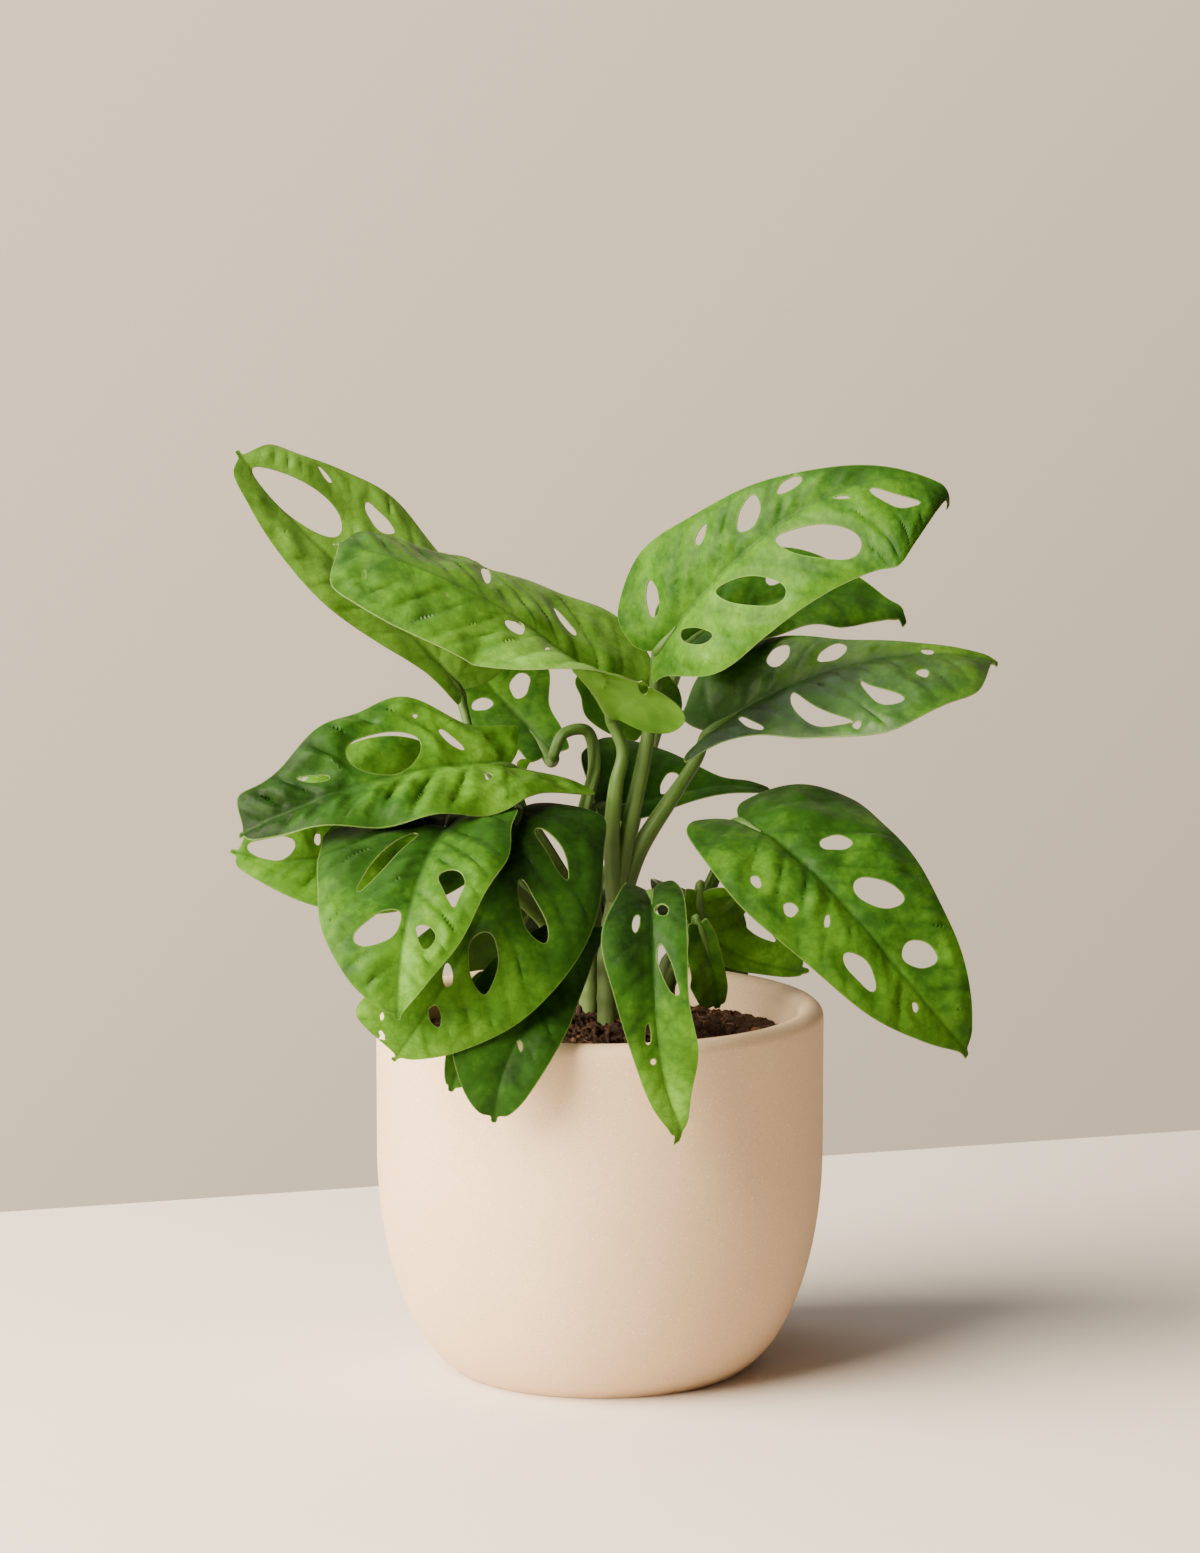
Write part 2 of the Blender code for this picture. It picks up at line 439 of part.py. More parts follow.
def make_leaf(name, spec, col):
    """A blade of even thickness with a thicker midrib, cut through by its holes."""
    blade = Blade(spec)
    outline = blade.outline()
    holes = blade.holes()
    inner = inner_points(blade, outline, holes)
    loops = [outline] + holes
    flat = [Vector((float(a), float(b))) for loop in loops + [inner] for a, b in loop]
    edges = []
    start = 0
    for loop in loops:
        edges += [(start + i, start + (i + 1) % len(loop)) for i in range(len(loop))]
        start += len(loop)
    verts, _, tris, *_ = delaunay_2d_cdt(flat, edges, [], 0, 1e-5)
    pts = np.array([tuple(v) for v in verts])
    middle = np.array([pts[list(t)].mean(0) for t in tris])
    keep = inside(middle, outline)
    for loop in holes:
        keep &= ~inside(middle, loop)
    faces = [list(t) for t, k in zip(tris, keep) if k]
    x, y = pts[:, 0], pts[:, 1]
    top = blade.surface(x, y)
    normal = blade.normals(x, y)
    keel = KEEL * np.clip(1 - y / blade.length, 0.1, 1) * np.exp(-(x / KEEL_WIDTH) ** 2) * (y > -1)
    under = top - normal * (BLADE + keel)[:, None]
    n = len(pts)
    a = pts[faces[0][1]] - pts[faces[0][0]]
    b = pts[faces[0][2]] - pts[faces[0][0]]
    if a[0] * b[1] - a[1] * b[0] < 0:
        faces = [f[::-1] for f in faces]
    count = {}
    for f in faces:
        for p, q in zip(f, f[1:] + f[:1]):
            count[(p, q)] = 1
    rim = [(p, q) for (p, q) in count if (q, p) not in count]
    body = [list(f) for f in faces] + [[i + n for i in f[::-1]] for f in faces]
    for p, q in rim:
        body += [[q, p, p + n], [q, p + n, q + n]]
    used = sorted({i for f in body for i in f})
    renumber = {old: new for new, old in enumerate(used)}
    points = np.vstack([top, under])[used]
    body = [[renumber[i] for i in f] for f in body]
    ob = make_object(name, points, body, col, "leaf")
    return ob, blade


def sweep(points, radii, sides, flatten_end=None):
    """Points and faces of a closed tube along a line of points."""
    p = np.asarray(points, float)
    d = np.gradient(p, axis=0)
    d /= np.linalg.norm(d, axis=1, keepdims=True)
    if flatten_end is not None:
        d[-1] = flatten_end
    side = np.cross(d[0], [0.3, 1.0, 0.1])
    side /= np.linalg.norm(side)
    verts, faces = [], []
    for i in range(len(p)):
        side = side - (side @ d[i]) * d[i]
        side /= np.linalg.norm(side)
        other = np.cross(d[i], side)
        for j in range(sides):
            a = 2 * math.pi * j / sides
            verts.append(p[i] + radii[i] * (math.cos(a) * side + math.sin(a) * other))
    for i in range(len(p) - 1):
        for j in range(sides):
            k = (j + 1) % sides
            a, b = i * sides + j, i * sides + k
            faces += [[a, b, b + sides], [a, b + sides, a + sides]]
    last = (len(p) - 1) * sides
    faces.append([j for j in range(sides)][::-1])
    faces.append([last + j for j in range(sides)])
    return verts, faces


def make_vine(name, spec, blades, col, cutters):
    """The fat lower stem and its stalks, joined into one body."""
    fx, fy = spec["foot"]
    line = [(fx, fy, 88), (fx, fy, 112), (fx, fy, 122)] + spec["trunk"]
    pts = np.vstack([smooth_line(line[1:], 3)])
    pts = np.vstack([[fx, fy, 88], pts])
    radii = np.interp(np.linspace(0, 1, len(pts)), [0, 0.4, 1], [spec["radius"], spec["radius"], spec["top_radius"]])
    parts = [make_object(name, *sweep(pts, radii, 9), col, "vine")]
    for way, low, high, leaf in spec["stalks"]:
        blade = blades[leaf]
        seat, tangent, normal, _ = blade.frame(np.array(1.2))
        folds = np.radians(np.asarray(blade.spec["fold"][0], float))
        drop = max(0.0, -math.sin(float(folds.min()))) * high * 0.8
        if blade.spec.get("seat"):
            normal = -normal
            end = seat - normal * (GAP + 0.5)
        else:
            end = seat - normal * (BLADE + KEEL + GAP + drop)
        line = list(way) + [end - normal * 4.5, end]
        pts = smooth_line(line, 2)
        share = np.linspace(0, 1, len(pts))
        radii = low + (high - low) * share ** 0.7
        radii[-1] = high * 0.8
        parts.append(make_object(name + "_stalk_" + leaf, *sweep(pts, radii, 6, normal), cutters))
    joined = parts[0]
    group = bpy.data.collections.new(name + "_stalks")
    for ob in parts[1:]:
        group.objects.link(ob)
    mod = joined.modifiers.new("stalks", "BOOLEAN")
    mod.operation = "UNION"
    mod.operand_type = "COLLECTION"
    mod.collection = group
    mod.solver = "MANIFOLD"
    apply_modifiers(joined)
    for ob in parts[1:]:
        bpy.data.objects.remove(ob, do_unlink=True)
    bpy.data.collections.remove(group)
    triangulate(joined)
    return joined


def pot_profile():
    """Half section of the pot, outside then inside, from the foot's centre round to the floor's centre."""
    def wall(r0, z0, r1, z1, r2, z2, r3, z3, steps):
        t = np.linspace(0, 1, steps)[:, None]
        p = [np.array(q, float) for q in ((r0, z0), (r1, z1), (r2, z2), (r3, z3))]
        return (1 - t) ** 3 * p[0] + 3 * t * (1 - t) ** 2 * p[1] + 3 * t * t * (1 - t) * p[2] + t ** 3 * p[3]

    outer = wall(POT_FOOT_RADIUS, 0.9, 65, 10, POT_RADIUS, 40, POT_RADIUS, POT_STRAIGHT_Z, 8)
    th = np.linspace(0, math.pi, 8)
    centre = POT_RADIUS - POT_LIP_TUBE
    lip = np.stack([centre + POT_LIP_TUBE * np.cos(th), POT_LIP_Z + POT_LIP_TUBE * np.sin(th)], -1)
    thick = 2 * POT_LIP_TUBE
    inner = wall(POT_RADIUS - thick, POT_STRAIGHT_Z, POT_RADIUS - thick, 42, 57, 16, 42, POT_FLOOR, 6)
    foot = [(0, 0), (POT_FOOT_RADIUS - 1.6, 0)]
    return np.vstack([foot, outer, lip, inner, [(0, POT_FLOOR)]])


def make_pot(col):
    """The pot is its half section turned about the upright axis with a Screw modifier."""
    pts = pot_profile()
    verts = [(r, 0, z) for r, z in pts]
    mesh = bpy.data.meshes.new("pot")
    mesh.from_pydata([tuple(float(c) * MM for c in v) for v in verts], [(i, i + 1) for i in range(len(pts) - 1)], [])
    ob = bpy.data.objects.new("pot", mesh)
    col.objects.link(ob)
    mod = ob.modifiers.new("turn", "SCREW")
    mod.steps = POT_SEGMENTS
    mod.render_steps = POT_SEGMENTS
    mod.use_merge_vertices = True
    mod.merge_threshold = 0.00001
    apply_modifiers(ob)
    ob.data.materials.clear()
    ob.data.materials.append(material("pot_mat", "pot"))
    clean(ob)
    return ob


def clean(ob):
    """Merge the pole points and turn all faces outward."""
    bm = bmesh.new()
    bm.from_mesh(ob.data)
    bmesh.ops.remove_doubles(bm, verts=bm.verts, dist=1e-6)
    bmesh.ops.dissolve_degenerate(bm, edges=bm.edges, dist=1e-7)
    bmesh.ops.recalc_face_normals(bm, faces=bm.faces)
    bmesh.ops.triangulate(bm, faces=[f for f in bm.faces if len(f.verts) > 3])
    bm.to_mesh(ob.data)
    bm.free()


def soil_height(r, a):
    """Height of the soil: level at the wall, a mound in the middle and low lumps."""
    mound = SOIL_MOUND * np.exp(-(r / 34.0) ** 2)
    lumps = np.sin(5 * a + r / 7.0) + np.sin(3 * a - r / 5.0 + 1.3) + np.sin(8 * a + r / 4.0 + 0.6)
    return SOIL_EDGE_Z + mound + SOIL_BUMP * lumps * np.clip((SOIL_RADIUS - r) / 20.0, 0, 1) / 2.2


def make_soil(col, cutters):
    """A plug that fills the pot's inside, lumpy on top, with a plain hole for each stem."""
    inner = pot_profile()
    lower = inner[-7:-1][::-1] - [GAP, 0]
    lower[0] = (lower[0][0], POT_FLOOR + GAP)
    lower[:, 1] = np.maximum(lower[:, 1], POT_FLOOR + GAP)
    segments = 30
    rings = [(r, z) for r, z in lower] + [(SOIL_RADIUS, 95.0), (SOIL_RADIUS, None)]
    rings += [(r, None) for r in (56, 46, 36, 26, 16, 8)]
    verts = [(0, 0, POT_FLOOR + GAP)]
    for r, z in rings:
        for j in range(segments):
            a = 2 * math.pi * j / segments
            h = z if z is not None else float(soil_height(np.array(float(r)), np.array(a)))
            verts.append((r * math.cos(a), r * math.sin(a), h))
    verts.append((0, 0, float(soil_height(np.array(0.0), np.array(0.0)))))
    faces = []
    for j in range(segments):
        k = (j + 1) % segments
        faces.append([0, 1 + k, 1 + j])
        for i in range(len(rings) - 1):
            a, b = 1 + i * segments + j, 1 + i * segments + k
            faces += [[a, b, b + segments], [a, b + segments, a + segments]]
        last = 1 + (len(rings) - 1) * segments
        faces.append([last + j, last + k, len(verts) - 1])
    ob = make_object("soil", verts, faces, col, "soil")
    group = bpy.data.collections.new("stem_holes")
    pegs = []
    for name, spec in STEMS.items():
        fx, fy = spec["foot"]
        pts = [(fx, fy, 88 - GAP), (fx, fy, 135)]
        r = (spec["radius"] + GAP) / math.cos(math.pi / 14)
        peg = make_object(name + "_hole", *sweep(pts, [r, r], 14), cutters)
        group.objects.link(peg)
        pegs.append(peg)
    mod = ob.modifiers.new("holes", "BOOLEAN")
    mod.operation = "DIFFERENCE"
    mod.operand_type = "COLLECTION"
    mod.collection = group
    mod.solver = "EXACT"
    apply_modifiers(ob)
    for peg in pegs:
        bpy.data.objects.remove(peg, do_unlink=True)
    bpy.data.collections.remove(group)
    clean(ob)
    return ob


def main():
    random.seed(SEED)
    clear_scene()
    col = collection("potted_monstera_adansonii")
    cutters = collection("cutters")
    cutters.hide_render = True
    make_pot(col)
    make_soil(col, cutters)
    blades = {}
    for name, spec in LEAVES.items():
        _, blades[name] = make_leaf(name, spec, col)
    for name, spec in STEMS.items():
        make_vine(name, spec, blades, col, cutters)


main()
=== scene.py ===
import math

import bpy
import numpy as np
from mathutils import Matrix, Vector


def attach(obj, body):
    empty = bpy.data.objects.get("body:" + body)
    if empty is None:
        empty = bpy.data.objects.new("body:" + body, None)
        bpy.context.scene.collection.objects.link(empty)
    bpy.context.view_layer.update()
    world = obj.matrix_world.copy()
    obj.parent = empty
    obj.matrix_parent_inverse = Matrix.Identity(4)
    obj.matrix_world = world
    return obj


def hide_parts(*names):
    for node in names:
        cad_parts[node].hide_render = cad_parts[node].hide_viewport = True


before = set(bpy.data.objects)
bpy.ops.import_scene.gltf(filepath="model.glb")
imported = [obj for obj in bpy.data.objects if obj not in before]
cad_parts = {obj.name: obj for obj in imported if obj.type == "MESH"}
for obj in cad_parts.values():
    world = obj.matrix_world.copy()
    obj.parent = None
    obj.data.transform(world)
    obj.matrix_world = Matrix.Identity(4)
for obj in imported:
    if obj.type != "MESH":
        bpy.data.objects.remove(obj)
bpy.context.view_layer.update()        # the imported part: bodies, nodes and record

bl_info = {
    "name": "Potted monstera adansonii",
    "version": (1, 0, 0),
    "blender": (4, 5, 0),
    "location": "View3D > Sidebar > Monstera",
    "description": "Dresses the packed plant: leaf blades with relief, stalks, soil, pot and a plain stage",
    "category": "Object",
}

# The plant's measures are in millimetres and are scaled once, when a mesh is written. The origin is the
# centre of the pot's foot on the table, +Z up, and the plant's front looks to -Y.
MM = 0.001
BODY = "root"

GAP = 0.3              # clearance between pieces that touch in the real plant
POT_RADIUS = 75.0      # outer radius of the straight wall
POT_LIP_Z = 119.0      # height of the centre of the rounded lip
POT_LIP_TUBE = 4.35    # half the wall thickness at the lip
POT_FOOT_RADIUS = 49.5  # where the foot's curve starts
POT_STRAIGHT_Z = 75.0  # the wall is straight above this height
POT_FLOOR = 9.0        # thickness of the bottom
SOIL_EDGE_Z = 110.5    # level of the soil at the wall
SOIL_WALL_TOP = 106.0  # height of the last ring of the soil's side
SOIL_MOUND = 8.0       # extra height of the mound round the crown
SOIL_BUMP = 0.9        # height of the low lumps
SOIL_RADIUS = POT_RADIUS - 2 * POT_LIP_TUBE - GAP
POT_SEGMENTS = 224     # faces round the pot
SOIL_SEGMENTS = 300    # faces round the soil
STATIONS = (0.0, 0.12, 0.3, 0.5, 0.7, 0.86, 0.95)  # where half widths are given, as parts of the length
HOLE_POINTS = 48       # points round a hole
TIP_LENGTH = 7.0       # the drip tip's part that hooks
STEM_UPRIGHT = (88, 112, 122)   # heights between which a stem stands upright in the soil
STEM_SCARS = (0.5, 0.68, 0.84)  # where old leaves left rings on a stem, as parts of its length
STALK_KNEE = 0.84      # where a stalk swells below its blade, as a part of its length

# The stage, in metres and degrees.
FLOOR_EDGE_MIDDLE = (0.0, 0.2904)   # where the slab's back edge passes behind the plant
FLOOR_EDGE_WAY = (0.469, 0.1455)    # and the way that it runs
FLOOR_HALF_WIDTH, FLOOR_DEPTH, FLOOR_THICKNESS = 2.6, 5.0, 0.05
# the backdrop is painted darker toward the lower right: painted shade, as on a wall that less light reaches
# there
BACKDROP_SHADE_WAY = (1.0, 0.0, -0.85)  # the way in which the backdrop gets darker
BACKDROP_SHADE_FADE = (-0.10, 0.27, 1.42, 0.84)  # from and to along that way, and the strengths there
GLOW_TINT = (1.0, 0.95, 0.88)
LIGHT_AIM = (0, 0, 0.15)
KEY_PLACE, KEY_SIZE, KEY_TINT = (-1.41, -0.75, 1.07), 2.0, (1.0, 0.885, 0.69)
TOP_PLACE, TOP_SIZE, TOP_TINT = (-0.5, 0.5, 1.5), 0.9, (0.85, 0.95, 1.0)
TOP_SHARE = 0.02                    # the faint top light's power, as a part of the key light's
CAMERA_PLACE, CAMERA_PITCH = (0.0, -1.8, 0.472), 8.6
FOCAL_PX, PICTURE_PX, SENSOR_MM = 5473.0, 1553.0, 36.0  # focal length and picture height in pixels

# Each leaf: midrib points from the base to the tip, the way the face looks along it, the dihedral of the
# (left, right) halves along it, their curl, half widths at STATIONS, the (out, back) reach of the two base
# lobes, and the holes as (across, along, length, width, slant from the midrib in degrees, how much one end
# is pointed, how much the hole is bent). A leaf with a seat of 1 has its stalk on the face side.
LEAVES = {
    "leaf_top_left": dict(
        midrib=[(-46, 14, 227), (-73, 8, 256.5), (-98.5, 3, 282), (-119.5, 0, 309)],
        facing=[(0.25, -0.8, 0.5), (0.4, -0.8, 0.45)],
        fold=[(12, 5), (10, 5)], curl=[(-20, -12)],
        left=(5.5, 6.5, 12, 15.5, 13, 9.5, 7), right=(24.5, 27.5, 31, 34.5, 28, 18.5, 12),
        lobes=((5, 2.5), (18, 5)),
        holes=[(6.2, 84.6, 38, 12.6, -14, 0.3, -0.1), (23.6, 58.5, 14.4, 5.5, 6, 0.1, 0.4)]),
    "leaf_upper_front": dict(
        midrib=[(5.5, -12, 222), (-9.5, -20, 242), (-39, -28, 264), (-87.5, -24, 281.5)],
        facing=[(-0.2, -0.45, 0.87), (-0.2, -0.45, 0.87), (-0.1, -0.45, 0.87)],
        fold=[(72, 18), (30, 6), (-22, -8), (-28, -14), (-20, -12)], curl=[(10, -15), (25, -25)],
        left=(30, 27, 28, 28, 25, 20.5, 16), right=(23.5, 36, 35, 36, 31.5, 23, 15),
        lobes=((20, 8), (14, 12)),
        holes=[(21.2, 62.3, 21.9, 3.4, 94, 0.5, 0.5), (-3.9, 49.4, 7.6, 6, -32, 0.1, 0.5),
               (17.1, 31.4, 12.8, 4.5, 42, 0.4, 0.1), (-6, 36.6, 13, 1.8, -68, 0.4, 0.4),
               (-25, 12, 12, 3, -54, 0, -0.2)]),
    "leaf_top_right": dict(
        midrib=[(18, -8, 242.5), (38, -20, 268.5), (65, -28, 292), (87, -30, 301.5), (116, -32, 296.5)],
        facing=[(-0.45, -0.75, 0.45), (-0.2, -0.8, 0.55), (-0.05, -0.75, 0.65)],
        fold=[(20, 15), (0, 10)], curl=[(-35, -30)],
        left=(21, 31.5, 25.5, 17, 8.5, 3, 1.5), right=(11, 25.5, 29.5, 31, 32.5, 32.5, 22),
        lobes=((10, 4), (9, 6)),
        holes=[(-12.9, 11.8, 12.7, 5.4, 118, 0, 0.1), (-15.9, 39, 7.4, 3.5, -34, 0.2, 0.1),
               (-9.4, 56.3, 12.5, 7.2, 144, 0, 0.1), (-9.8, 72.1, 8.8, 4.1, 177, 0.1, 0),
               (7.6, 105.2, 19.9, 4.8, 16, 0.1, -1.2), (14.1, 73, 33.2, 11.7, -145, 0.3, 0.2),
               (13.3, 42.8, 28.8, 9.7, -137, 0.3, -0.1), (9.9, 17.4, 15.4, 5.6, -131, 0.1, 0.2)]),
    "leaf_behind_top_right": dict(
        midrib=[(30, 18, 243.5), (57, 26, 256), (82.5, 28, 257.5), (104, 22, 251)],
        facing=[(0, -0.7, 0.7)],
        fold=[(5, 10), (10, 15)], curl=[(-20, -20)],
        left=(17, 22, 23, 21, 10.5, 3, 2), right=(16, 17, 15.5, 15, 17, 9, 3.5), lobes=((9, 6), (9, 6)),
        holes=[(-9, 36, 9, 5, -40, 0.25, 0)]),
    "leaf_right": dict(
        midrib=[(35.5, 2, 215), (52, 4, 225), (79, 0, 237), (132, -10, 239.5)],
        facing=[(-0.1, -0.6, 0.8), (0, -0.6, 0.8)],
        fold=[(15, 20), (10, 15)], curl=[(-25, -20)],
        left=(12, 23.5, 21.5, 11, 5, 3, 2), right=(10, 17, 30, 37.5, 38, 27, 18), lobes=((12, 4), (9, 13)),
        holes=[(-12.4, 31.2, 8.9, 6.8, -50, 0.1, -0.1), (-6.3, 47.5, 10.1, 6.6, 166, 0.3, 0.1),
               (12.7, 80, 5.1, 3.8, 55, 0.6, 0.2), (20.3, 65.3, 22, 5, -140, 0.9, 1.2),
               (21.1, 41.3, 34.6, 6.8, 48, 0.1, -1.6), (10.2, 14, 15, 3, -113, 0, 0.6)]),
    "leaf_behind_stems": dict(
        midrib=[(9.5, 26, 233), (11, 34, 221), (16.5, 34, 207)],
        facing=[(0, -0.85, 0.5), (0, -0.95, 0.2)],
        fold=[(8, 8)], curl=[(-20, -20)],
        left=(13, 13, 14, 16, 16, 14, 10), right=(12, 18, 17, 17, 13, 8, 4), lobes=((9, 4), (9, 4)),
        holes=[]),
    "leaf_left_back": dict(
        midrib=[(-18, 16, 206), (-29, 30, 217.5), (-38, 38, 226), (-47, 44, 240)],
        facing=[(0.2, -0.85, 0.45), (0.1, -0.85, 0.5)],
        fold=[(8, 8)], curl=[(-20, -20)], seat=1,
        left=(8, 9, 14, 15, 9.5, 7, 5), right=(8, 9, 11, 19.5, 21, 18, 13), lobes=((7, 3), (7, 2)),
        holes=[(-6.8, 30.3, 7.6, 5.1, -71, 0.2, -0.2), (7.9, 28.3, 10.5, 6.6, -133, 0.1, 0)]),
    "leaf_left_wavy": dict(
        midrib=[(-29, -20, 207), (-60, -36, 207.5), (-91.5, -46, 199.5), (-118.5, -44, 187)],
        facing=[(0.05, -0.5, 0.87), (0, -0.6, 0.8)],
        fold=[(5, 30), (0, 20)], curl=[(-10, -25)],
        left=(16, 24.5, 25, 21.5, 14.5, 7, 4), right=(15, 17, 29.5, 27, 20, 14, 11),
        lobes=((13, 26), (15, 5)),
        holes=[(9.3, 42.9, 24.9, 15.8, 5, 0.1, 0.2), (9.6, 19.3, 11, 3.4, -120, 0, -0.5),
               (8.1, 68.2, 11.1, 2.5, 25, 0.4, 0.3), (1, -5.3, 6.2, 3.3, 146, 0.5, 0.1)]),
    "leaf_left_under": dict(
        midrib=[(-43, -6, 189), (-66, -20, 182.5), (-92, -30, 177.5), (-121.5, -30, 180)],
        facing=[(0, -0.75, 0.65), (0, -0.8, 0.6)],
        fold=[(8, 38), (8, 26), (8, 8)], curl=[(-20, -20)],
        left=(20, 23.5, 26.5, 25, 18, 9.5, 5), right=(18, 30, 36, 33.5, 25, 17, 11), lobes=((11, 5), (11, 5)),
        holes=[(3.8, 72.5, 17, 7.6, -8, 0.3, 0.3)]),
    "leaf_front_left": dict(
        midrib=[(-47.5, -36, 193.5), (-53, -58, 188.5), (-60.5, -86, 171.5), (-64.5, -98, 135.5)],
        facing=[(-0.1, -0.55, 0.83), (-0.1, -0.85, 0.5), (-0.1, -0.98, 0.2)],
        fold=[(15, 12), (8, 8)], curl=[(-25, -30)],
        left=(21, 22.5, 26, 23, 18.5, 9.5, 3), right=(40, 42, 39, 33.5, 28, 17, 6), lobes=((11, 3), (13, 3)),
        holes=[(8.4, 66.5, 17.4, 9, -133, 0, -0.2), (-11.9, 48.3, 15.9, 7.1, 161, -0.5, -0.2),
               (12.4, 36.8, 35.3, 4.9, -162, 0.1, -0.2), (-6.5, 67.3, 8.8, 5.6, 151, 0.2, -0.5)]),
    "leaf_front_large": dict(
        midrib=[(-26.5, -29, 194.5), (-32.5, -62, 176), (-48, -82, 148), (-66.5, -86, 120.5)],
        facing=[(0.1, -0.85, 0.5), (0, -1, 0.15)],
        fold=[(6, 6)], curl=[(-20, -20)],
        left=(27.5, 30, 34, 33.5, 27.5, 16, 6), right=(2, 3, 3.5, 9, 17, 19, 17.8), lobes=((13, 5), (3, 1.5)),
        holes=[(-13.9, 21.1, 22.3, 5.5, 140, -0.2, -0.1), (-13.8, 45.1, 23.3, 6.4, 138, 0.3, 0.3),
               (-7.5, 68, 20.2, 9.3, -29, 0.3, -0.1), (0.5, 77.1, 7.9, 3.2, 149, 0, 0),
               (-3, 90.4, 7.2, 3.7, -47, 0.1, -0.1)]),
    "leaf_over_rim_left": dict(
        midrib=[(-5, -44, 156.5), (-15.5, -66, 142), (-28, -83, 124), (-34, -85, 100)],
        facing=[(0.1, -0.9, 0.4), (0, -1, 0.05)],
        fold=[(10, 10), (12, 12)], curl=[(-20, -20)],
        left=(7, 7, 9.5, 12.5, 12.5, 9.5, 5), right=(9, 13, 18.5, 21, 21, 12.5, 5.5), lobes=((7, 3), (8, 4)),
        holes=[]),
    "leaf_over_rim_tip": dict(
        midrib=[(-32.5, -50, 138.5), (-40.5, -67, 127), (-48.5, -70, 107)],
        facing=[(0.1, -0.9, 0.4), (0, -1, 0.05)],
        fold=[(10, 10), (12, 12)], curl=[(-20, -20)],
        left=(8, 9, 10, 9, 7, 5, 2), right=(8, 9, 9, 8, 6, 4, 2), lobes=((6, 2), (6, 2)),
        holes=[]),
    "leaf_over_rim_front": dict(
        midrib=[(16, -58, 172), (17, -80, 161.5), (18, -90, 133), (28, -90, 96.5)],
        facing=[(0, -0.85, 0.5), (0, -1, 0.1)],
        fold=[(15, 20), (15, 15)], curl=[(-30, -25)],
        left=(8.5, 10.5, 11, 11, 12.5, 7, 3), right=(8, 11.5, 17, 13, 8.5, 6, 3.5), lobes=((7, 4), (8, 3)),
        holes=[(-2.9, 16, 6.5, 3.9, 152, 0, 0.1), (5.6, 22.5, 7.1, 2.3, 10, 0.1, 0),
               (-4.4, 37.9, 18, 4.1, -18, 0, -0.4), (2.9, 58, 7.2, 2, -175, 0.2, -0.1)]),
    "leaf_right_back": dict(
        midrib=[(33.5, 2, 159.5), (39, 8, 143.5), (55.5, 12, 134), (70.5, 10, 132.5)],
        facing=[(0.1, -0.7, 0.7), (0.1, -0.8, 0.55)],
        fold=[(8, 8)], curl=[(-20, -20)],
        left=(11, 14, 18, 20, 17, 11, 4), right=(5, 6, 8, 6.5, 4, 3, 2), lobes=((8, 3), (5, 2)),
        holes=[(-12.5, 33, 16, 6, 23, 0.4, 0.1)]),
    "leaf_front_right": dict(
        midrib=[(45.5, -10, 187.5), (68.5, -34, 175), (91, -48, 151.5), (121.5, -46, 114.5)],
        facing=[(0.3, -0.75, 0.6), (0.25, -0.92, 0.3)],
        fold=[(8, 15), (8, 12)], curl=[(-25, -25)],
        left=(24, 38.5, 36, 32, 24, 14, 6), right=(20.5, 26.5, 29.5, 25.5, 20, 10, 3),
        lobes=((11, 7), (13, 8)),
        holes=[(-14.2, 33.1, 11.1, 7.4, 117, 0, -0.2), (-12.1, 57, 17.6, 10.4, -36, 0, -0.2),
               (-9, 82.1, 12.3, 9.4, -35, 0.1, 0), (12, 74.6, 14.6, 7, 1, 0.3, 0.2),
               (19.3, 31.2, 5.4, 3.2, 22, 0.2, -0.2), (17, 45.5, 5.4, 4.7, 50, 0.1, 0)]),
    "leaf_small_by_soil": dict(
        midrib=[(33, -34, 155.5), (37, -30, 140.5), (39, -20, 124.5)],
        facing=[(0.2, -0.9, 0.3), (0.2, -1, 0.1)],
        fold=[(15, 15)], curl=[(-20, -20)],
        left=(3, 4, 4, 4, 4, 3, 2), right=(5, 7, 8, 9, 8, 6, 3), lobes=((3, 1.5), (4, 2)),
        holes=[]),
    "leaf_narrow_back": dict(
        midrib=[(-0.5, 18, 188), (17, 30, 188), (35.5, 36, 191), (60, 38, 188.5)],
        facing=[(0, -0.6, 0.8), (0, -0.35, 0.94)],
        fold=[(30, -15), (5, 5)], curl=[(-20, -20)],
        left=(18, 24, 28, 20, 5, 3, 2), right=(6, 7, 7, 6, 5, 4, 2), lobes=((8, 2), (5, 2)),
        holes=[(-4.3, 29.8, 10.6, 4.3, 136, 0.4, 0.1)]),
    "leaf_back_left": dict(
        midrib=[(-12, 36, 162), (-20, 56, 151), (-31, 72, 132), (-40, 82, 107)],
        facing=[(-0.35, 0.55, 0.7), (-0.35, 0.9, 0.3)],
        fold=[(10, 10)], curl=[(-25, -25)],
        left=(20, 25, 28, 28, 25, 15, 5.5), right=(14, 18, 23, 24, 20, 12, 5), lobes=((10, 5), (8, 2)),
        holes=[(11, 34, 16, 6, 40, 0.25, 0), (10, 58, 13, 5, 40, 0.25, 0)]),
    "leaf_back_right": dict(
        midrib=[(33, 40, 152), (36, 62, 146), (41, 84, 124), (44, 92, 92)],
        facing=[(0.3, 0.6, 0.75), (0.3, 0.95, 0.2)],
        fold=[(10, 10)], curl=[(-25, -25)],
        left=(14, 18, 19, 18, 15, 9, 4), right=(10, 13, 13.5, 12.5, 10.5, 7, 3.5), lobes=((8, 4), (7, 3)),
        holes=[(-9, 30, 13, 5, -40, 0.25, 0), (-8, 50, 10, 4, -35, 0.25, 0), (6.5, 30, 9, 3.5, 35, 0.25, 0)]),
}

